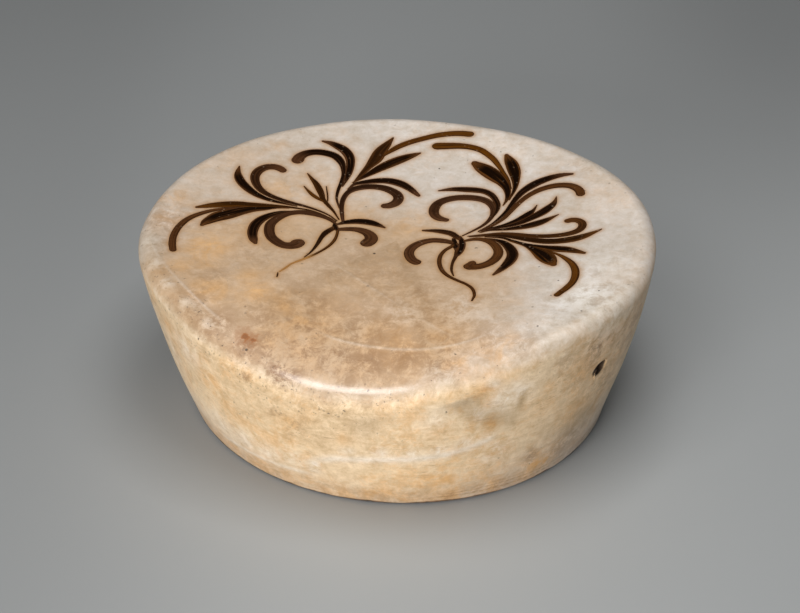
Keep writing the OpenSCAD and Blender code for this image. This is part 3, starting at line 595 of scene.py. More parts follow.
    def wall_grid(self):
        """Rings of the wall up its outer face and down its inner face."""
        turn = even_turns(WALL_COLUMNS)
        low, high = self.base_thickness, self.joint_z(turn)
        rings = [self.wall_point(turn, low + (high - low) * up) for up in np.linspace(0, 1, WALL_RINGS)]
        rings += [
            self.wall_point(turn, low + (high - low) * up, self.wall_thickness)
            for up in np.linspace(1, 0, WALL_INNER_RINGS)
        ]
        return np.array(rings).transpose(0, 2, 1)

    def base_grid(self):
        """Rings of the base from the middle of its upper face, over its worn edge, to the middle of its foot."""
        turn = even_turns(BASE_COLUMNS)
        low, high = self.foot_round, self.base_thickness
        level = np.ones(BASE_COLUMNS)
        foot_x, foot_y, foot_z = self.wall_point(turn, 0 * level, self.foot_round)
        rings = []
        edge_x, edge_y, edge_z = self.wall_point(turn, high * level)
        for share in np.linspace(0, 1, BASE_TOP_RINGS + 1):
            rings.append((edge_x * share, self.foot_shift + (edge_y - self.foot_shift) * share, edge_z))
        for z in np.linspace(high, low, BASE_SIDE_RINGS + 1)[1:]:
            rings.append(self.wall_point(turn, z * level))
        for tilt in np.linspace(0, math.pi / 2, FOOT_ROUND_RINGS + 1)[1:]:
            rings.append(self.wall_point(turn, low * (1 - math.sin(tilt)) * level, low * (1 - math.cos(tilt))))
        for share in np.linspace(1, 0, FOOT_FLAT_RINGS + 1)[1:]:
            rings.append((foot_x * share, self.foot_shift + (foot_y - self.foot_shift) * share, foot_z))
        return np.array(rings).transpose(0, 2, 1)


class PillowFinish(PropertyGroup):
    """Colours of the fired pillow."""

    slip: colour_value("Slip", "Cream slip under the glaze of the wall", 226, 198, 160)
    pale_slip: colour_value("Pale slip", "Cleaner slip at the back and right of the face", 207, 195, 182)
    worn_slip: colour_value("Worn slip", "Slip that use has tanned in the middle of the face", 196, 168, 138)
    # White slip is also the colour of the painted sheen on the right of the face
    white_slip: colour_value("White slip", "Chalky slip on the worn shoulder", 236, 228, 217)
    smoke: colour_value("Smoke", "Grey-brown grime rubbed into the glaze", 150, 114, 80)
    ochre: colour_value("Ochre", "Iron stain that has soaked through the glaze", 220, 165, 96)
    rust: colour_value("Rust", "Burst speck of iron", 148, 90, 38)
    soil: colour_value("Soil", "Grime in the pits and pinholes", 74, 62, 50)
    clay: colour_value("Clay", "Bare fired stoneware", 132, 100, 72)
    hollow: colour_value("Hollow", "Unlit clay inside the vent", 38, 28, 20)
    pigment_core: colour_value("Pigment core", "Thick iron pigment", 20, 8, 2)
    pigment_brown: colour_value("Pigment brown", "Thinner pigment of the broad curls", 82, 52, 33)
    pigment_amber: colour_value("Pigment amber", "Thin pigment that the slip shows through", 92, 52, 8)
    pigment_edge: colour_value("Pigment edge", "Dark line where the pigment pooled", 44, 23, 8)
    halo: colour_value("Halo", "Iron that has bled into the slip round a stroke", 168, 120, 66)


class PillowStage(PropertyGroup):
    """Floor, lamps and camera."""

    floor: colour_value("Floor", "Pale grey studio floor", 157, 159, 159)
    room: colour_value("Room", "Plain light of the room", 150, 151, 152)
    room_strength: FloatProperty(
        name="Room strength", description="Strength of the room's light", default=0.24, min=0,
    )
    camera_turn: angle_value("Camera turn", "Turn of the camera towards the right end", 13.5)
    camera_rise: angle_value("Camera rise", "Height of the camera above the horizon", 36)
    camera_distance: length_value("Camera distance", "Distance from the camera to the pillow", 1.3)
    camera_aim: FloatVectorProperty(
        name="Camera aim", description="Place that the camera looks at",
        default=(0.0014, 0.0028, 0.055), subtype="TRANSLATION",
    )
    lens: FloatProperty(
        name="Lens", description="Focal length in millimetres on a 36 mm sensor", default=98.955, min=10,
    )


# Meshes


def active(piece):
    """Makes a piece the only selected and active object."""
    bpy.ops.object.select_all(action="DESELECT")
    piece.select_set(True)
    bpy.context.view_layer.objects.active = piece


def places(piece):
    """The vertices of a piece as an array."""
    found = np.empty(len(piece.data.vertices) * 3)
    piece.data.vertices.foreach_get("co", found)
    return found.reshape(-1, 3)


def lay(piece, points):
    """Moves the vertices of a piece to new places."""
    piece.data.vertices.foreach_set("co", np.ascontiguousarray(points, dtype=float).ravel())
    piece.data.update()


def column_of(x, y, columns):
    return np.rint(np.degrees(np.arctan2(y, x)) / (360 / columns)).astype(int) % columns


def primitive(name, add, **given):
    """A new piece from one of the plain forms."""
    bpy.ops.object.select_all(action="DESELECT")
    add(**given)
    piece = bpy.context.object
    piece.name = piece.data.name = name
    return piece


def ball_on_rings(name, grid):
    """A closed body: a ball whose rows are laid on rings, and whose poles on the first and last ring."""
    rows, columns = grid.shape[:2]
    piece = primitive(name, bpy.ops.mesh.primitive_uv_sphere_add, segments=columns, ring_count=rows - 1, radius=1)
    x, y, z = places(piece).T
    row = np.rint((math.pi / 2 - np.arcsin(np.clip(z, -1, 1))) / (math.pi / (rows - 1))).astype(int)
    lay(piece, grid[row, column_of(x, y, columns)])
    return piece


def hoop_on_rings(name, grid):
    """A closed ring: a hoop whose section is laid on rings, up the outside and down the inside."""
    rows, columns = grid.shape[:2]
    piece = primitive(
        name, bpy.ops.mesh.primitive_torus_add,
        major_segments=columns, minor_segments=rows, major_radius=1, minor_radius=0.25,
    )
    x, y, z = places(piece).T
    row = np.rint(np.arctan2(z, np.hypot(x, y) - 1) / (2 * math.pi / rows)).astype(int) % rows
    lay(piece, grid[row, column_of(x, y, columns)])
    return piece


def select_where(piece, test):
    """In edit mode, selects the faces whose middle passes a test."""
    mesh = bmesh.from_edit_mesh(piece.data)
    for face in mesh.faces:
        face.select = bool(test(face.calc_center_median()))
    mesh.select_flush_mode()
    bmesh.update_edit_mesh(piece.data)


def weigh(piece, name, weights):
    """A vertex group with a weight for each vertex."""
    group = piece.vertex_groups.new(name=name)
    steps = np.rint(np.clip(weights, 0, 1) * 100).astype(int)
    for step in np.unique(steps):
        group.add(np.flatnonzero(steps == step).tolist(), step / 100, "REPLACE")


def reshape(piece, name, kind, **settings):
    """Adds a modifier to a piece and applies it."""
    added = piece.modifiers.new(name, kind)
    for setting, value in settings.items():
        setattr(added, setting, value)
    active(piece)
    bpy.ops.object.modifier_apply(modifier=added.name)


def press_by_hand(piece, form):
    """Unevenness of hand work, the same field for every piece, so that pieces stay joined."""
    texture = bpy.data.textures.get("hand_press") or bpy.data.textures.new("hand_press", type="CLOUDS")
    texture.cloud_type = "COLOR"
    texture.noise_scale = HAND_MARK
    texture.noise_depth = 1
    weigh(piece, "hand_press", ease(places(piece)[:, 2], HAND_NONE_BELOW, HAND_FULL_ABOVE))
    reshape(
        piece, "hand_press", "DISPLACE", texture=texture, texture_coords="LOCAL", direction="RGB_TO_XYZ",
        mid_level=0.5, strength=form.unevenness, vertex_group="hand_press",
    )


def mark(piece, **marks):
    """Keeps values for each vertex, which the piece's material reads."""
    for name, values in marks.items():
        layer = piece.data.attributes.new(name, "FLOAT", "POINT")
        layer.data.foreach_set("value", np.full(len(piece.data.vertices), values, dtype=np.float32))


def read_mark(piece, name):
    found = np.empty(len(piece.data.vertices), dtype=np.float32)
    piece.data.attributes[name].data.foreach_get("value", found)
    return found


def settle(piece, node, material, smooth_angle=SMOOTH_ANGLE):
    """Smooth shading, material, and the piece's place in the frame."""
    active(piece)
    bpy.ops.object.shade_smooth_by_angle(angle=smooth_angle)
    piece.data.materials.clear()
    piece.data.materials.append(material)
    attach(piece, ROOT)
    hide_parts(node)


def spread(points, spots):
    """How strongly soft spots, each a place, a radius and a strength, cover some points."""
    cover = np.zeros(len(points))
    for place, radius, strength in spots:
        away = np.linalg.norm(points - np.array(place), axis=1) / radius
        cover = np.maximum(cover, strength * hump(away, 0, 1))
    return cover


def wall_spots(form, listed):
    return [
        (form.wall_point(turn, height * MM), radius * MM, strength)
        for turn, height, radius, strength in listed
    ]


def face_spots(form, listed):
    return [
        (form.face_place(x * MM, y * MM), radius * MM, strength)
        for x, y, radius, strength in listed
    ]


def mark_finish(piece, form):
    """Where the slip is tanned, stained, worn or bare, from the places of the piece's vertices."""
    points = places(piece)
    x, y, z = points.T
    turn, share = form.plan(x, y)
    rim_drop = form.face_z(turn, 1.0) - z
    outer = ease(share, 0.86, 0.96)

    def near(middle, far, close):
        """1 at turns close to a middle one, 0 at those far from it."""
        return ease(turn_from(turn, middle), far, close)

    def covered(on_face, on_wall):
        return spread(points, face_spots(form, on_face) + wall_spots(form, on_wall))

    dipped = near(FRONT_TURN, 44, 14)
    on_wall = ease(rim_drop + 6 * MM * dipped, 3 * MM, 11 * MM) * ease(share, 0.80, 0.93)
    worn_reach = np.hypot((x + 0.025) / 0.110, (y + 0.055) / 0.090)
    side_reach = np.hypot((x + 0.095) / 0.060, (y - 0.030) / 0.075)
    tanned = np.maximum(1 - ease(worn_reach, 0.65, 1.30), 0.55 * (1 - ease(side_reach, 0.4, 1.3)))
    soaked = 0.9 * ease(z, 21 * MM, 4 * MM) * on_wall
    grimy = (0.45 + 0.4 * ease(turn, 282, 312)) * ease(z, 19 * MM, 3 * MM) * on_wall

    # Painted shade darkens the shoulder, the face behind it, the foot and the left of the wall
    shoulder = hump(rim_drop, 3 * MM, 5 * MM) * outer
    behind = hump(rim_drop, -8 * MM, np.where(rim_drop > -8 * MM, 5 * MM, 12 * MM))
    front_shade = np.maximum((1 - 0.2 * dipped) * shoulder, 0.65 * behind) * near(262, 95, 45)
    upper = ease(z, 34 * MM, 60 * MM) * near(238, 54, 28)
    low_left_shade = 0.4 * np.maximum(ease(z, 22 * MM, 4 * MM), upper) * on_wall
    crest = hump(share, 0.952, 0.014) * ease(rim_drop, 3 * MM, 0.5 * MM)

    # Scuffs and pits along the lip and under it
    front = near(248, 45, 15)
    lip = hump(rim_drop, (1 - dipped) * 2 * MM, 4 * MM) * outer
    scuffed = lip * (0.10 + 0.9 * np.maximum(front, 0.6 * near(206, 26, 8)))
    pitted = 0.7 * hump(rim_drop, 9 * MM, 9 * MM) * on_wall * front

    # Bare clay inside the wall and in the vent, painted near black as shade in the material
    inside = ease(form.wall_depth(x, y, np.clip(z, 0, None)), 0.5 * MM, 1.6 * MM)
    vent_y, vent_z = form.vent_place()
    from_lip = np.hypot(y - vent_y, z - vent_z) - form.vent_diameter / 2
    bored = ease(from_lip, 0.9 * MM, 0.3 * MM) * (x > 0)
    below_face = form.face_z(turn, np.minimum(share, 1)) - z
    mark(
        piece,
        tan=tanned * (1 - on_wall),
        wall=on_wall,
        stain=np.maximum(covered(FACE_STAINS, WALL_STAINS), soaked),
        smudge=np.maximum(covered(FACE_SMUDGES, WALL_SMUDGES), grimy),
        chalk=covered(FACE_PALES_AND_SHEEN, WALL_PALES),
        shoulder=shoulder,
        rubbed=np.maximum(front_shade, low_left_shade),
        polish=crest * near(FRONT_TURN, 19, 5),
        grit=np.max([scuffed, pitted, covered(FACE_FRECKLES, WALL_FRECKLES)], axis=0),
        bare=np.maximum(inside, bored) * ease(below_face, 11 * MM, 14 * MM),
    )


def within(points, line, margin):
    """Which points lie in the box round a line, with a margin."""
    low, high = line.min(0) - margin, line.max(0) + margin
    return np.flatnonzero(np.all((points > low) & (points < high), axis=1))


def stroke_reach(points):
    """Distance of each point in plan from the nearest edge of a stroke."""
    nearest = np.full(len(points), 1.0)
    for _, _, drawn in LEFT_STROKES + RIGHT_STROKES:
        middle, half, _ = brush_path(drawn)
        near = within(points, middle, 8 * MM)
        gap = np.linalg.norm(points[near, None] - middle[None], axis=2) - half[None]
        nearest[near] = np.minimum(nearest[near], gap.min(1))
    return nearest


def line_height(points, line, breadth):
    """A low rounded ridge along a line of places, which fades out at both ends."""
    height = np.zeros(len(points))
    near = within(points, line, 4 * breadth)
    if len(near):
        away = np.linalg.norm(points[near, None] - line[None], axis=2)
        share = away.argmin(1) / (len(line) - 1)
        fade = ease(share, 0, 0.15) * ease(share, 1, 0.85)
        height[near] = hump(away.min(1), 0, breadth) * fade
    return height


def score(piece, form):
    """Raises and sinks the thin lines that making left in the clay, and keeps where they are."""
    points = places(piece)
    normals = np.empty(len(points) * 3)
    piece.data.vertices.foreach_get("normal", normals)
    lines = []
    for height, breadth, drawn in FACE_LINES:
        x, y = smooth_line(np.array(drawn) * MM)[0].T
        lines.append((height, breadth, np.column_stack(form.face_place(x, y))))
    for height, breadth, drawn in WALL_LINES:
        turn, z = smooth_line(drawn)[0].T
        lines.append((height, breadth, np.column_stack(form.wall_point(turn, z * MM))))
    moved, raised = np.zeros(len(points)), np.zeros(len(points))
    for height, breadth, line in lines:
        ridge = line_height(points, line, breadth * MM)
        moved += height * MM * ridge
        if height > 0:
            raised = np.maximum(raised, ridge * min(1, height / 0.3))
    lay(piece, points + normals.reshape(-1, 3) * moved[:, None])
    mark(piece, ridge=raised, groove=np.clip(-moved / (0.25 * MM), 0, 1))


def work_over(piece, form):
    """What making and use left on a piece: thin lines, the unevenness of hand work, stains and wear."""
    score(piece, form)
    press_by_hand(piece, form)
    mark_finish(piece, form)


# Brushwork


def smooth_line(points):
    """A smooth line through points, and the length run at each of its places."""
    points = np.array(points, dtype=float)
    ends = np.vstack([2 * points[0] - points[1], points, 2 * points[-1] - points[-2]])
    share = np.arange(SPAN_STEPS)[:, None] / SPAN_STEPS
    spans = []
    for p0, p1, p2, p3 in zip(ends, ends[1:], ends[2:], ends[3:]):
        bend = 2 * p0 - 5 * p1 + 4 * p2 - p3
        twist = 3 * p1 - p0 - 3 * p2 + p3
        spans.append(p1 + ((p2 - p0) * share + bend * share**2 + twist * share**3) / 2)
    line = np.vstack([*spans, points[-1:]])
    steps = np.linalg.norm(np.diff(line[:, :2], axis=0), axis=1)
    return line, np.concatenate([[0], np.cumsum(steps)])


def brush_path(drawn):
    """Middle, half width and length run of a stroke, at even steps of its length."""
    line, run = smooth_line(np.array(drawn) * MM)
    at = np.linspace(0, run[-1], max(8, int(run[-1] / STATION_STEP)))
    x, y, width = (np.interp(at, run, value) for value in line.T)
    return np.column_stack([x, y]), np.maximum(width / 2 * STROKE_BREADTH, STROKE_LEAST), at


def brush_stations(drawn):
    """Stations of a stroke with rounded ends: middle, way across, half width to either side, and length run."""
    middle, half, run = brush_path(drawn)
    ahead = np.gradient(middle, axis=0)
    ahead /= np.linalg.norm(ahead, axis=1)[:, None]
    heading = np.unwrap(np.arctan2(ahead[:, 1], ahead[:, 0]))
    bend = np.gradient(heading, run)
    left = np.minimum(half, 0.9 / np.maximum(bend, 1e-6))
    right = np.minimum(half, 0.9 / np.maximum(-bend, 1e-6))
    tilt = np.linspace(0, math.pi / 2, CAP_STATIONS + 1)[1:]
    reach, narrow = np.sin(tilt), np.maximum(np.cos(tilt), 0.03)

    def cap(end, way):
        past = half[end] * reach
        return (
            middle[end] + way * ahead[end] * past[:, None], np.repeat(ahead[[end]], CAP_STATIONS, 0),
            left[end] * narrow, right[end] * narrow, run[end] + way * past,
        )

    body = (middle, ahead, left, right, run)
    middle, ahead, left, right, run = (
        np.concatenate([root[::-1], part, tip]) for root, part, tip in zip(cap(0, -1), body, cap(-1, 1))
    )
    return middle, np.column_stack([-ahead[:, 1], ahead[:, 0]]), left, right, run


def paint_stroke(name, order, stroke, height):
    """One stroke as a flat ribbon above the face."""
    load, warmth, drawn = stroke
    middle, side, left, right, run = brush_stations(drawn)
    piece = primitive(
        name, bpy.ops.mesh.primitive_grid_add, x_subdivisions=len(run) - 1, y_subdivisions=ACROSS_CELLS, size=2,
    )
    x, y, _ = places(piece).T
    i = np.rint((x + 1) / 2 * (len(run) - 1)).astype(int)
    across = np.sin(y * math.pi / 2)
    out = np.where(across > 0, left[i], right[i])
    plan = middle[i] + side[i] * (out * across)[:, None]
    lay(piece, np.column_stack([plan, np.full(len(plan), height)]))
    from_ends = np.minimum(run - run[0], run[-1] - run)[i] + 0.1 * MM
    mark(
        piece,
        across=across,
        margin=np.minimum((1 - np.abs(across)) * out, from_ends) / MM,
        along=((run - run[0]) / (run[-1] - run[0]))[i],
        run=run[i] + order * RUN_APART,
        load=load,
        warmth=warmth,
        order=order,
    )
    return piece


def paint_spray(name, strokes, top, form):
    """A spray: its strokes joined, laid on the face, and thickened to a crown."""
    above = CAD_BOX[1].z + 10 * MM
    ribbons = [paint_stroke(f"{name}_{i}", i, stroke, above) for i, stroke in enumerate(strokes)]
    active(ribbons[0])
    for ribbon in ribbons:
        ribbon.select_set(True)
    bpy.ops.object.join()
    spray = bpy.context.object
    spray.name = spray.data.name = name
    reshape(
        spray, "on_face", "SHRINKWRAP", target=top, wrap_method="PROJECT", use_project_z=True,
        use_positive_direction=False, use_negative_direction=True, offset=FACE_LIFT,
    )
    points = places(spray)
    points[:, 2] += read_mark(spray, "order") * ORDER_LIFT
    lay(spray, points)
    weigh(spray, "crown", np.sqrt(np.clip(1 - read_mark(spray, "across") ** 2, 0, 1)))
    reshape(
        spray, "crown", "SOLIDIFY", thickness=form.pigment_thickness, offset=1, use_even_offset=False,
        vertex_group="crown", thickness_vertex_group=EDGE_THICKNESS,
    )
    return spray


# Materials


class Sheet:
    """A node tree being wired."""

    def __init__(self, tree):
        self.tree = tree

    def add(self, kind, **settings):
        made = self.tree.nodes.new(kind)
        for name, value in settings.items():
            setattr(made, name, value)
        return made

    def feed(self, socket, source):
        """Links a socket to a source or gives it a value, where a colour of the finish is made linear."""
        if isinstance(source, bpy.types.NodeSocket):
            self.tree.links.new(source, socket)
        else:
            socket.default_value = linear(source) if isinstance(source, Color) else source

    def node(self, kind, feeds, output=0, **settings):
        """One output of a new node, whose inputs are fed by name or number."""
        made = self.add(kind, **settings)
        for socket, source in feeds.items():
            self.feed(made.inputs[socket], source)
        return made.outputs[output]

    def apart(self, kind, source):
        """The parts of a colour or a place."""
        made = self.add(kind)
        self.feed(made.inputs[0], source)
        return list(made.outputs)

    def math(self, operation, *values, clamp=False):
        return self.node("ShaderNodeMath", dict(enumerate(values)), operation=operation, use_clamp=clamp)

    def fold(self, operation, values):
        result = values[0]
        for value in values[1:]:
            result = self.math(operation, result, value)
        return result

    def total(self, *values):
        return self.fold("ADD", values)

    def times(self, *values):
        return self.fold("MULTIPLY", values)

    def most(self, *values):
        return self.fold("MAXIMUM", values)

    def about(self, value, strength):
        """A value's swing about its middle, as a strength."""
        return self.times(self.math("SUBTRACT", value, 0.5), strength)

    def step(self, value, low, high):
        """A smooth step from 0 at low to 1 at high."""
        feeds = {"Value": value, "From Min": low, "From Max": high}
        return self.node("ShaderNodeMapRange", feeds, "Result", interpolation_type="SMOOTHSTEP")

    def blend(self, share, a, b):
        return self.node("ShaderNodeMix", {"Factor": share, 2: a, 3: b}, data_type="FLOAT", clamp_factor=True)

    def mix(self, share, a, b, way="MIX"):
        feeds = {"Factor": share, 6: a, 7: b}
        return self.node("ShaderNodeMix", feeds, 2, data_type="RGBA", blend_type=way, clamp_factor=True)

    def coats(self, colour, *laid):
        """A colour under coats of others, each with its share."""
        for share, paint in laid:
            colour = self.mix(share, colour, paint)
        return colour

    def attribute(self, name):
        return self.node("ShaderNodeAttribute", {}, "Fac", attribute_name=name)

    def place(self):
        return self.node("ShaderNodeTexCoord", {}, "Object")

    def stretch(self, vector, scale, turn=(0, 0, 0)):
        return self.node("ShaderNodeMapping", {"Vector": vector, "Scale": scale, "Rotation": turn}, "Vector")

    def noise(self, vector, scale, detail=3.0, roughness=0.5, distortion=0.0, output="Fac"):
        feeds = {"Vector": vector, "Scale": scale, "Detail": detail, "Roughness": roughness, "Distortion": distortion}
        return self.node("ShaderNodeTexNoise", feeds, output)

    def noises(self, *given):
        """Three patterns of the same size that don't follow one another."""
        return self.apart("ShaderNodeSeparateColor", self.noise(*given, output="Color"))

    def cells(self, vector, scale):
        """Distance to the nearest of many scattered points, and two chance values for each point."""
        made = self.add("ShaderNodeTexVoronoi")
        self.feed(made.inputs["Vector"], vector)
        self.feed(made.inputs["Scale"], scale)
        return made.outputs["Distance"], *self.apart("ShaderNodeSeparateColor", made.outputs["Color"])[:2]

    def group(self, made, **feeds):
        placed = self.add("ShaderNodeGroup", node_tree=made)
        for name, source in feeds.items():
            self.feed(placed.inputs[name.capitalize()], source)
        return placed.outputs


def new_group(name, places, values, outputs):
    """An empty shader node group with named inputs, which puts out values."""
    made = bpy.data.node_groups.new(name, "ShaderNodeTree")
    for way, kind, sockets in (
        ("INPUT", "NodeSocketVector", places),
        ("INPUT", "NodeSocketFloat", values),
        ("OUTPUT", "NodeSocketFloat", outputs),
    ):
        for socket in sockets:
            made.interface.new_socket(socket, in_out=way, socket_type=kind)
    sheet = Sheet(made)
    return sheet, sheet.add("NodeGroupInput").outputs, sheet.add("NodeGroupOutput").inputs


def fired_grain_group():
    """Cloudiness of the slip from patches to single grains: tone, warmth and wear, each with its own pattern."""
    names = ("Patches", "Drift", "Mottle", "Tone", "Warmth", "Wear")
    sheet, given, put = new_group("fired_grain", ["Place"], [], names)
    place = given["Place"]
    patches, drift, _ = sheet.noises(place, 18, 4, 0.6, 0.8)
    mottle = sheet.noise(place, 60, 5, 0.65, 0.8)
    for name, source in zip(names, (patches, drift, mottle, *sheet.noises(place, 130, 6, 0.80, 0.3))):
        sheet.feed(put[name], source)
    return sheet.tree


def wiping_group():
    """Fine lines left by wiping: level on the wall, slanting on the face."""
    sheet, given, put = new_group("wiping_lines", ["Place"], ["Wall"], ["Lines", "Scratches"])
    place, wall = given["Place"], given["Wall"]
    level = sheet.noise(sheet.stretch(place, (48, 48, 520)), 1, 4, 0.65, 0.5)
    slant = sheet.noise(sheet.stretch(place, (60, 300, 8), (0, 0, math.radians(-17))), 1, 4, 0.65, 0.5)
    sheet.feed(put["Lines"], sheet.blend(wall, slant, level))
    thin = sheet.step(sheet.noise(sheet.stretch(place, (170, 170, 1300)), 1, 2, 0.6, 0.4), 0.58, 0.70)
    where = sheet.step(sheet.noise(place, 34, 3, 0.6), 0.50, 0.64)
    sheet.feed(put["Scratches"], sheet.times(thin, where, wall))
    return sheet.tree


def grit_group():
    """Pinholes and scuffed specks, ragged, in clusters where the density is high."""
    sheet, given, put = new_group("pits_and_specks", ["Place"], ["Density"], ["Pits", "Specks"])
    place = given["Place"]
    rag = sheet.noise(place, 700, 3, output="Color")
    ragged = sheet.node("ShaderNodeVectorMath", {0: rag, 1: (2.4 * MM,) * 3, 2: place}, operation="MULTIPLY_ADD")
    cluster = sheet.step(sheet.noise(place, 110, 3, 0.6), 0.40, 0.66)
    density = sheet.times(given["Density"], sheet.total(0.15, cluster))
    for name, scale, reach in (("Pits", 330, 0.22), ("Specks", 620, 0.42)):
        away, chance, size = sheet.cells(ragged, scale)
        size = sheet.times(sheet.total(0.4, size), reach)
        inside = sheet.step(away, size, sheet.times(size, 0.4))
        sheet.feed(put[name], sheet.times(inside, sheet.math("GREATER_THAN", density, chance)))
    return sheet.tree


def spot_group():
    """A soft-edged spot at one place."""
    sheet, given, put = new_group("spot", ["Place", "Middle"], ["Radius", "Ragged"], ["Spot"])
    place = given["Place"]
    away = sheet.node("ShaderNodeVectorMath", {0: place, 1: given["Middle"]}, "Value", operation="DISTANCE")
    rag = sheet.about(sheet.noise(place, 420, 3), given["Ragged"])
    sheet.feed(put["Spot"], sheet.step(sheet.total(sheet.math("DIVIDE", away, given["Radius"]), rag), 1.1, 0.5))
    return sheet.tree


def shared_group(name):
    """A node group that the materials share, built once."""
    makers = {
        "fired_grain": fired_grain_group, "wiping_lines": wiping_group,
        "pits_and_specks": grit_group, "spot": spot_group,
    }
    return bpy.data.node_groups.get(name) or makers[name]()


def new_material(name, gloss=0.4):
    """A material, its sheet and its shader."""
    made = bpy.data.materials.new(name)
    made.use_nodes = True
    made.node_tree.nodes.clear()
    sheet = Sheet(made.node_tree)
    shader = sheet.add("ShaderNodeBsdfPrincipled")
    shader.inputs["Specular IOR Level"].default_value = gloss
    end = sheet.add("ShaderNodeOutputMaterial")
    sheet.feed(end.inputs["Surface"], shader.outputs[0])
    return made, sheet, shader


def dress(sheet, shader, colour, roughness, relief, depth):
    """Feeds a shader its colour, its roughness and a fine relief of some depth."""
    sheet.feed(shader.inputs["Base Color"], colour)
    sheet.feed(shader.inputs["Roughness"], roughness)
    normal = sheet.node("ShaderNodeBump", {"Strength": 1.0, "Distance": depth, "Height": relief}, "Normal")
    sheet.feed(shader.inputs["Normal"], normal)


def face_spot(sheet, form, place, middle, radius, ragged):
    """A spot on the face at a place in plan, in millimetres."""
    middle = [float(value) for value in form.face_place(middle[0] * MM, middle[1] * MM)]
    return sheet.group(shared_group("spot"), place=place, middle=middle, radius=radius * MM, ragged=ragged)["Spot"]


def glaze_colour(sheet, finish, form, place):
    """Colour, relief and roughness of the glazed slip, for every piece that carries it."""
    attribute, about, step, total, times = sheet.attribute, sheet.about, sheet.step, sheet.total, sheet.times
    grain = sheet.group(shared_group("fired_grain"), place=place)
    patches, mottle, tone, wear = (grain[name] for name in ("Patches", "Mottle", "Tone", "Wear"))
    wall = attribute("wall")
    wiping = sheet.group(shared_group("wiping_lines"), place=place, wall=wall)
    lines = wiping["Lines"]
    density = total(times(attribute("grit"), 0.75), STRAY_GRIT)
    grit = sheet.group(shared_group("pits_and_specks"), place=place, density=density)

    tan = total(attribute("tan"), about(patches, 0.9), about(mottle, 0.6), about(wear, 0.6))
    face = sheet.mix(step(tan, 0.0, 1.0), finish.pale_slip, finish.worn_slip)
    soaked = total(0.25, times(step(mottle, 0.34, 0.66), sheet.blend(wall, 0.58, 0.85)))
    stained = times(attribute("stain"), soaked)
    drift = step(total(grain["Drift"], about(grain["Warmth"], 1.4)), 0.42, 0.78)
    drift = times(drift, 0.42, sheet.blend(wall, 0.3, 1.0))
    ochre = sheet.math("ADD", stained, drift, clamp=True)
    smoke = times(attribute("smudge"), step(total(patches, about(tone, -1.6)), 0.30, 0.62), 0.9)
    # Pale slip on the rim and wall, and a painted sheen on the right of the face, whiten the glaze
    chalk = times(attribute("chalk"), step(total(mottle, about(tone, 1.2)), 0.25, 0.6), 0.9)
    worn = times(attribute("shoulder"), step(wear, 0.46, 0.66), 0.12)
    colour = sheet.coats(
        face,
        (wall, finish.slip),
        (ochre, finish.ochre),
        (sheet.most(smoke, times(wiping["Scratches"], 0.55)), finish.smoke),
        (sheet.most(chalk, times(attribute("ridge"), 0.5), worn), finish.white_slip),
    )

    shade = total(
        1.0,
        times(about(tone, 1.0), sheet.blend(wall, 0.9, 1.25)),
        times(about(lines, 1.0), sheet.blend(wall, 0.12, 0.34)),
        about(patches, 0.45),
        times(attribute("groove"), -0.34),
        # Painted shade: a darker shoulder, face behind it, foot and left of the wall
        times(attribute("rubbed"), -0.28),
    )
    shades = {i: sheet.math("POWER", shade, power) for i, power in enumerate(SHADE_POWERS)}
    colour = sheet.mix(1.0, colour, sheet.node("ShaderNodeCombineColor", shades), "MULTIPLY")
    colour = sheet.coats(colour, (times(attribute("halo"), 0.8), finish.halo))
    for middle, radius, ragged in RUST_SPOTS:
        smear = face_spot(sheet, form, place, middle, radius * 2.6, 1.6)
        burst = face_spot(sheet, form, place, middle, radius, ragged)
        burnt = face_spot(sheet, form, place, middle, radius * 0.6, ragged)
        colour = sheet.coats(
            colour, (times(smear, 0.3), finish.rust), (burst, finish.rust), (times(burnt, 0.3), finish.pigment_brown),
        )
    pinholes = [times(face_spot(sheet, form, place, *pinhole), 0.9) for pinhole in PINHOLES]
    soil = sheet.most(times(grit["Pits"], 0.75), times(grit["Specks"], 0.4), *pinholes)
    colour = sheet.coats(colour, (soil, finish.soil))
    relief = total(tone, times(lines, 0.3), mottle, times(soil, -0.8))
    gloss = sheet.blend(attribute("polish"), sheet.blend(step(wear, 0.3, 0.7), 0.34, 0.54), 0.24)
    return colour, relief, gloss


def glaze_material(finish, form):
    """Clear glaze over cream slip, tanned by use, stained with iron, worn at the shoulder, with painted shade and
    sheen.
    """
    made, sheet, shader = new_material("cream_glaze")
    place = sheet.place()
    colour, relief, gloss = glaze_colour(sheet, finish, form, place)
    bare = sheet.attribute("bare")
    crumbs = sheet.times(sheet.step(sheet.noise(place, 300, 4), 0.4, 0.7), 0.25)
    # Bare places are painted near black as shade in the vent, with flecks of clay
    inside = sheet.mix(crumbs, finish.hollow, finish.clay)
    dress(sheet, shader, sheet.mix(bare, colour, inside), sheet.blend(bare, gloss, 0.9), relief, 0.16 * MM)
    sheet.feed(shader.inputs["Coat Weight"], sheet.attribute("polish"))
    sheet.feed(shader.inputs["Coat Roughness"], 0.24)
    sheet.feed(shader.inputs["Coat IOR"], 2.15)
    return made


def foot_material(finish, form):
    """Glaze that stops short of the foot, and bare stoneware below it."""
    made, sheet, shader = new_material("foot_glaze_and_clay")
    place = sheet.place()
    colour, relief, gloss = glaze_colour(sheet, finish, form, place)
    height = sheet.apart("ShaderNodeSeparateXYZ", place)[2]
    waver = sheet.about(sheet.noise(place, 45, 4), 5 * MM)
    glazed = sheet.step(sheet.total(height, waver), 1.4 * MM, 2.6 * MM)
    clay = sheet.mix(sheet.step(sheet.noise(place, 380, 4, 0.6), 0.35, 0.7), finish.clay, finish.soil)
    dress(sheet, shader, sheet.mix(glazed, clay, colour), sheet.blend(glazed, 0.85, gloss), relief, 0.18 * MM)
    return made


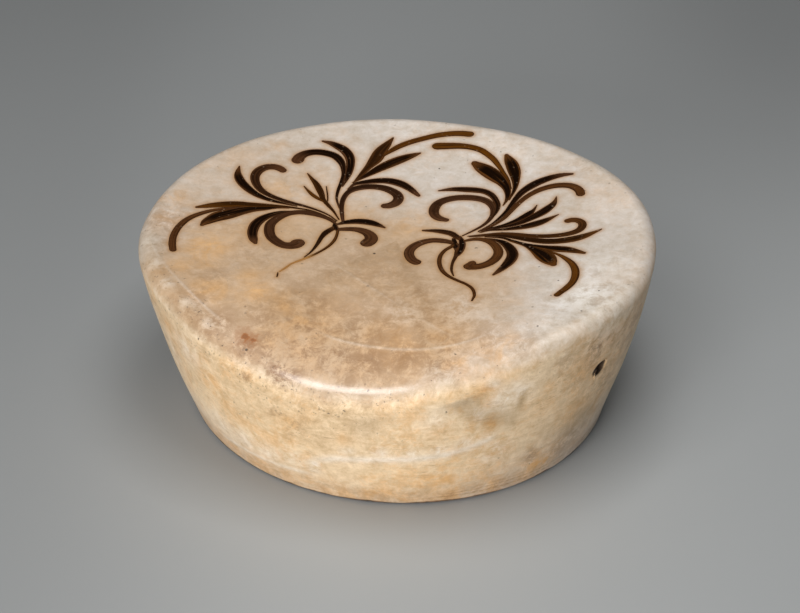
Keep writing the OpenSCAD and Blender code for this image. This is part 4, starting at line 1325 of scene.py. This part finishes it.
def clay_material(finish):
    """Bare stoneware of the luting coils, with grit and finger marks."""
    made, sheet, shader = new_material("bare_stoneware")
    grain = sheet.group(shared_group("fired_grain"), place=sheet.place())
    mottle, tone, wear = (grain[name] for name in ("Mottle", "Tone", "Wear"))
    colour = sheet.mix(sheet.step(mottle, 0.3, 0.7), finish.clay, finish.soil)
    colour = sheet.mix(sheet.step(wear, 0.55, 0.75), colour, finish.worn_slip)
    dress(sheet, shader, colour, sheet.blend(wear, 0.75, 0.95), sheet.total(mottle, sheet.times(tone, 0.5)), 0.4 * MM)
    return made


def pigment_material(finish):
    """Iron pigment under glaze: black core, brown or amber flesh, and a pooled edge, streaked along the stroke."""
    made, sheet, shader = new_material("iron_pigment", 0.04)
    about, step, times = sheet.about, sheet.step, sheet.times
    across, along, margin = (sheet.attribute(name) for name in ("across", "along", "margin"))
    run, load, warmth = (sheet.attribute(name) for name in ("run", "load", "warmth"))
    brushed = sheet.node("ShaderNodeCombineXYZ", {0: times(run, 24.0), 1: times(across, 4.2), 2: times(run, 2.0)})
    streaks, gaps, sway = sheet.noises(brushed, 1, 5, 0.65, 0.5)
    place = sheet.place()
    grain = sheet.group(shared_group("fired_grain"), place=place)
    tone = grain["Tone"]
    thin = times(step(gaps, 0.56, 0.72), step(margin, 0.3, 0.9), 0.3)
    pooled = times(step(sheet.total(margin, about(tone, 0.8)), 0.75, 0.15), sheet.blend(load, 0.9, 0.35))
    off = sheet.math("ABSOLUTE", sheet.total(across, about(sway, 1.4)))
    core = times(step(off, 0.86, 0.58), step(along, 0.0, 0.2), step(along, 0.97, 0.80), step(load, 0.0, 0.8))
    specks = sheet.group(shared_group("pits_and_specks"), place=place, density=0.12)["Specks"]
    dry = times(step(along, 0.50, 0.66), sheet.math("LESS_THAN", load, 0.0))
    colour = sheet.coats(
        sheet.mix(warmth, finish.pigment_brown, finish.pigment_amber),
        (thin, finish.halo),
        (times(step(streaks, 0.46, 0.62), 0.75), finish.pigment_edge),
        (pooled, finish.pigment_edge),
        (times(core, step(streaks, 0.30, 0.46)), finish.pigment_core),
        (times(step(tone, 0.50, 0.66), 0.35), finish.pigment_core),
        # Pale specks on the pigment are painted glints of the glaze
        (times(specks, 0.22), finish.worn_slip),
        (times(dry, 0.85), finish.halo),
    )
    gloss = sheet.blend(step(grain["Wear"], 0.3, 0.7), 0.20, 0.36)
    dress(sheet, shader, colour, gloss, sheet.total(tone, times(streaks, 0.5)), 0.08 * MM)
    return made


def kept(name, make, *given):
    """A material made once."""
    return bpy.data.materials.get(name) or make(*given)


# Operators


class PILLOW_OT_top(Operator):
    """Builds the dished top with its dipping front edge and rounded shoulder"""

    bl_idname = "pillow.top"
    bl_label = "Glazed top"

    def execute(self, context):
        form, finish = context.scene.pillow_form, context.scene.pillow_finish
        piece = ball_on_rings("glazed_top", form.top_grid())
        work_over(piece, form)
        points = places(piece)
        gap = stroke_reach(points[:, :2])
        on_face = ease(points[:, 2], 75 * MM, 85 * MM)
        mark(piece, halo=np.exp(-np.maximum(gap, 0) / HALO_REACH) * on_face)
        settle(piece, "top_slab", kept("cream_glaze", glaze_material, finish, form))
        return {"FINISHED"}


class PILLOW_OT_wall(Operator):
    """Builds the flaring wall and pierces its vent"""

    bl_idname = "pillow.wall"
    bl_label = "Glazed wall"

    def execute(self, context):
        form, finish = context.scene.pillow_form, context.scene.pillow_finish
        piece = hoop_on_rings("glazed_wall", form.wall_grid())
        self.pierce(piece, form)
        work_over(piece, form)
        settle(piece, "wall_strip", kept("cream_glaze", glaze_material, finish, form))
        return {"FINISHED"}

    def pierce(self, piece, form):
        """Opens both faces of the wall at the vent, bridges them, and rounds the lip."""
        vent_y, vent_z = form.vent_place()
        radius = form.vent_diameter / 2

        def away(place):
            return math.hypot(place.y - vent_y, place.z - vent_z) if place.x > 0 else 1.0

        active(piece)
        bpy.ops.object.mode_set(mode="EDIT")
        bpy.ops.mesh.select_mode(type="FACE")
        select_where(piece, lambda middle: away(middle) < VENT_FINE_REACH * radius)
        bpy.ops.mesh.subdivide(number_cuts=VENT_CUTS)
        select_where(piece, lambda middle: away(middle) < radius)
        bpy.ops.mesh.delete(type="FACE")
        mesh = bmesh.from_edit_mesh(piece.data)
        rim = {v for e in mesh.edges if e.is_boundary for v in e.verts}
        if not rim:
            raise RuntimeError("the vent opened no hole in the wall")
        for vertex in rim:
            depth = form.wall_x(vertex.co.y, vertex.co.z) - vertex.co.x
            inner = depth > form.wall_thickness / 2
            turn = math.atan2(vertex.co.z - vent_z, vertex.co.y - vent_y)
            vertex.co.y = vent_y + radius * math.cos(turn)
            vertex.co.z = vent_z + radius * math.sin(turn)
            vertex.co.x = form.wall_x(vertex.co.y, vertex.co.z) - (depth if inner else 0)
        bmesh.update_edit_mesh(piece.data)
        bpy.ops.mesh.select_mode(type="EDGE")
        bpy.ops.mesh.select_all(action="DESELECT")
        bpy.ops.mesh.select_non_manifold()
        bpy.ops.mesh.bridge_edge_loops(number_cuts=VENT_BORE_RINGS)
        mesh = bmesh.from_edit_mesh(piece.data)
        for edge in mesh.edges:
            edge.select = all(
                abs(away(v.co) - radius) < 0.01 * MM and abs(form.wall_x(v.co.y, v.co.z) - v.co.x) < 0.05 * MM
                for v in edge.verts
            )
        mesh.select_flush_mode()
        bmesh.update_edit_mesh(piece.data)
        bpy.ops.mesh.bevel(offset=VENT_LIP, segments=VENT_LIP_CELLS, affect="EDGES")
        bpy.ops.object.mode_set(mode="OBJECT")


class PILLOW_OT_base(Operator):
    """Builds the base with its worn foot, where the glaze stops"""

    bl_idname = "pillow.base"
    bl_label = "Base and foot"

    def execute(self, context):
        form, finish = context.scene.pillow_form, context.scene.pillow_finish
        piece = ball_on_rings("worn_foot", form.base_grid())
        work_over(piece, form)
        settle(piece, "base_slab", kept("foot_glaze_and_clay", foot_material, finish, form))
        return {"FINISHED"}


class PILLOW_OT_coils(Operator):
    """Gives the luting coils inside the hollow their bare stoneware"""

    bl_idname = "pillow.coils"
    bl_label = "Luting coils"

    def execute(self, context):
        material = kept("bare_stoneware", clay_material, context.scene.pillow_finish)
        for name in ("upper_luting_coil", "lower_luting_coil", "wall_seam_coil"):
            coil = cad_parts[name]
            coil.data.materials.clear()
            coil.data.materials.append(material)
        return {"FINISHED"}


class PILLOW_OT_sprays(Operator):
    """Paints the two plant sprays on the face"""

    bl_idname = "pillow.sprays"
    bl_label = "Painted sprays"

    def execute(self, context):
        form, finish = context.scene.pillow_form, context.scene.pillow_finish
        top = bpy.data.objects.get("glazed_top")
        if top is None:
            raise RuntimeError("the sprays need the glazed top under them")
        material = kept("iron_pigment", pigment_material, finish)
        for name, node, strokes in (
            ("left_brushwork", "left_spray", LEFT_STROKES),
            ("right_brushwork", "right_spray", RIGHT_STROKES),
        ):
            settle(paint_spray(name, strokes, top, form), node, material, BRUSH_SMOOTH_ANGLE)
        return {"FINISHED"}


def aim(thing, target):
    """Turns a lamp or camera towards a place."""
    thing.rotation_euler = (Vector(target) - thing.location).to_track_quat("-Z", "Y").to_euler()


class PILLOW_OT_stage(Operator):
    """Sets the floor, the soft lamps and the camera"""

    bl_idname = "pillow.stage"
    bl_label = "Stage"

    def execute(self, context):
        scene, stage = context.scene, context.scene.pillow_stage
        scene.view_settings.view_transform = "Standard"
        self.lay_floor(stage)
        for name, place, size, power in LAMPS:
            lamp = bpy.data.lights.new(name, "AREA")
            lamp.shape = "RECTANGLE"
            lamp.size, lamp.size_y = size
            lamp.energy = power
            panel = bpy.data.objects.new(name, lamp)
            scene.collection.objects.link(panel)
            panel.location = place
            aim(panel, LAMP_TARGET)
        world = bpy.data.worlds.new("room")
        world.use_nodes = True
        light = world.node_tree.nodes["Background"]
        light.inputs["Color"].default_value = linear(stage.room)
        light.inputs["Strength"].default_value = stage.room_strength
        scene.world = world
        lens = bpy.data.cameras.new("camera")
        lens.lens = stage.lens
        lens.sensor_width = SENSOR_WIDTH
        lens.dof.use_dof = False
        camera = bpy.data.objects.new("camera", lens)
        scene.collection.objects.link(camera)
        turn, rise = stage.camera_turn, stage.camera_rise
        back = Vector((math.sin(turn) * math.cos(rise), -math.cos(turn) * math.cos(rise), math.sin(rise)))
        camera.location = Vector(stage.camera_aim) + back * stage.camera_distance
        aim(camera, stage.camera_aim)
        scene.camera = camera
        return {"FINISHED"}

    def lay_floor(self, stage):
        """A paper floor with painted shade: darker on the left and at the far right corner as the camera sees it."""
        floor = primitive(
            "studio_floor", bpy.ops.mesh.primitive_circle_add,
            vertices=FLOOR_SIDES, radius=FLOOR_RADIUS, fill_type="NGON",
        )
        material, sheet, shader = new_material("studio_paper")
        place = sheet.place()
        tooth = sheet.noise(place, 40, 3)
        seen = sheet.stretch(place, (1, 1, 1), (0, 0, -stage.camera_turn))
        across, deep, _ = sheet.apart("ShaderNodeSeparateXYZ", seen)
        left_side = sheet.step(sheet.times(across, -1), 0.02, 0.24)
        far_corner = sheet.times(sheet.step(across, 0.12, 0.30), sheet.step(deep, 0.12, 0.44))
        painted_floor_shade = sheet.times(sheet.most(left_side, far_corner), FLOOR_PAINTED_SHADE)
        sheet.feed(shader.inputs["Base Color"], sheet.mix(painted_floor_shade, stage.floor, BLACK))
        sheet.feed(shader.inputs["Roughness"], sheet.blend(tooth, 0.55, 0.65))
        floor.data.materials.append(material)


class PILLOW_PT_sidebar(Panel):
    """The pillow's sizes, colours and building steps"""

    bl_label = "Ceramic head pillow"
    bl_idname = "PILLOW_PT_sidebar"
    bl_space_type = "VIEW_3D"
    bl_region_type = "UI"
    bl_category = "Pillow"

    def draw(self, context):
        layout = self.layout
        for step in STEPS:
            layout.operator(step.bl_idname)
        for title, group in (
            ("Sizes", context.scene.pillow_form),
            ("Finish", context.scene.pillow_finish),
            ("Stage", context.scene.pillow_stage),
        ):
            box = layout.box()
            box.label(text=title)
            for name in group.bl_rna.properties.keys():
                if name not in ("rna_type", "name"):
                    box.prop(group, name)


STEPS = (PILLOW_OT_top, PILLOW_OT_wall, PILLOW_OT_base, PILLOW_OT_coils, PILLOW_OT_sprays, PILLOW_OT_stage)
GROUPS = (PillowForm, PillowFinish, PillowStage)


def register():
    for kind in (*GROUPS, *STEPS, PILLOW_PT_sidebar):
        bpy.utils.register_class(kind)
    bpy.types.Scene.pillow_form = PointerProperty(type=PillowForm)
    bpy.types.Scene.pillow_finish = PointerProperty(type=PillowFinish)
    bpy.types.Scene.pillow_stage = PointerProperty(type=PillowStage)


def unregister():
    del bpy.types.Scene.pillow_form
    del bpy.types.Scene.pillow_finish
    del bpy.types.Scene.pillow_stage
    for kind in reversed((*GROUPS, *STEPS, PILLOW_PT_sidebar)):
        bpy.utils.unregister_class(kind)


def main():
    register()
    bpy.ops.pillow.top()
    bpy.ops.pillow.wall()
    bpy.ops.pillow.base()
    bpy.ops.pillow.coils()
    bpy.ops.pillow.sprays()
    bpy.ops.pillow.stage()


if __name__ == "__main__":
    main()
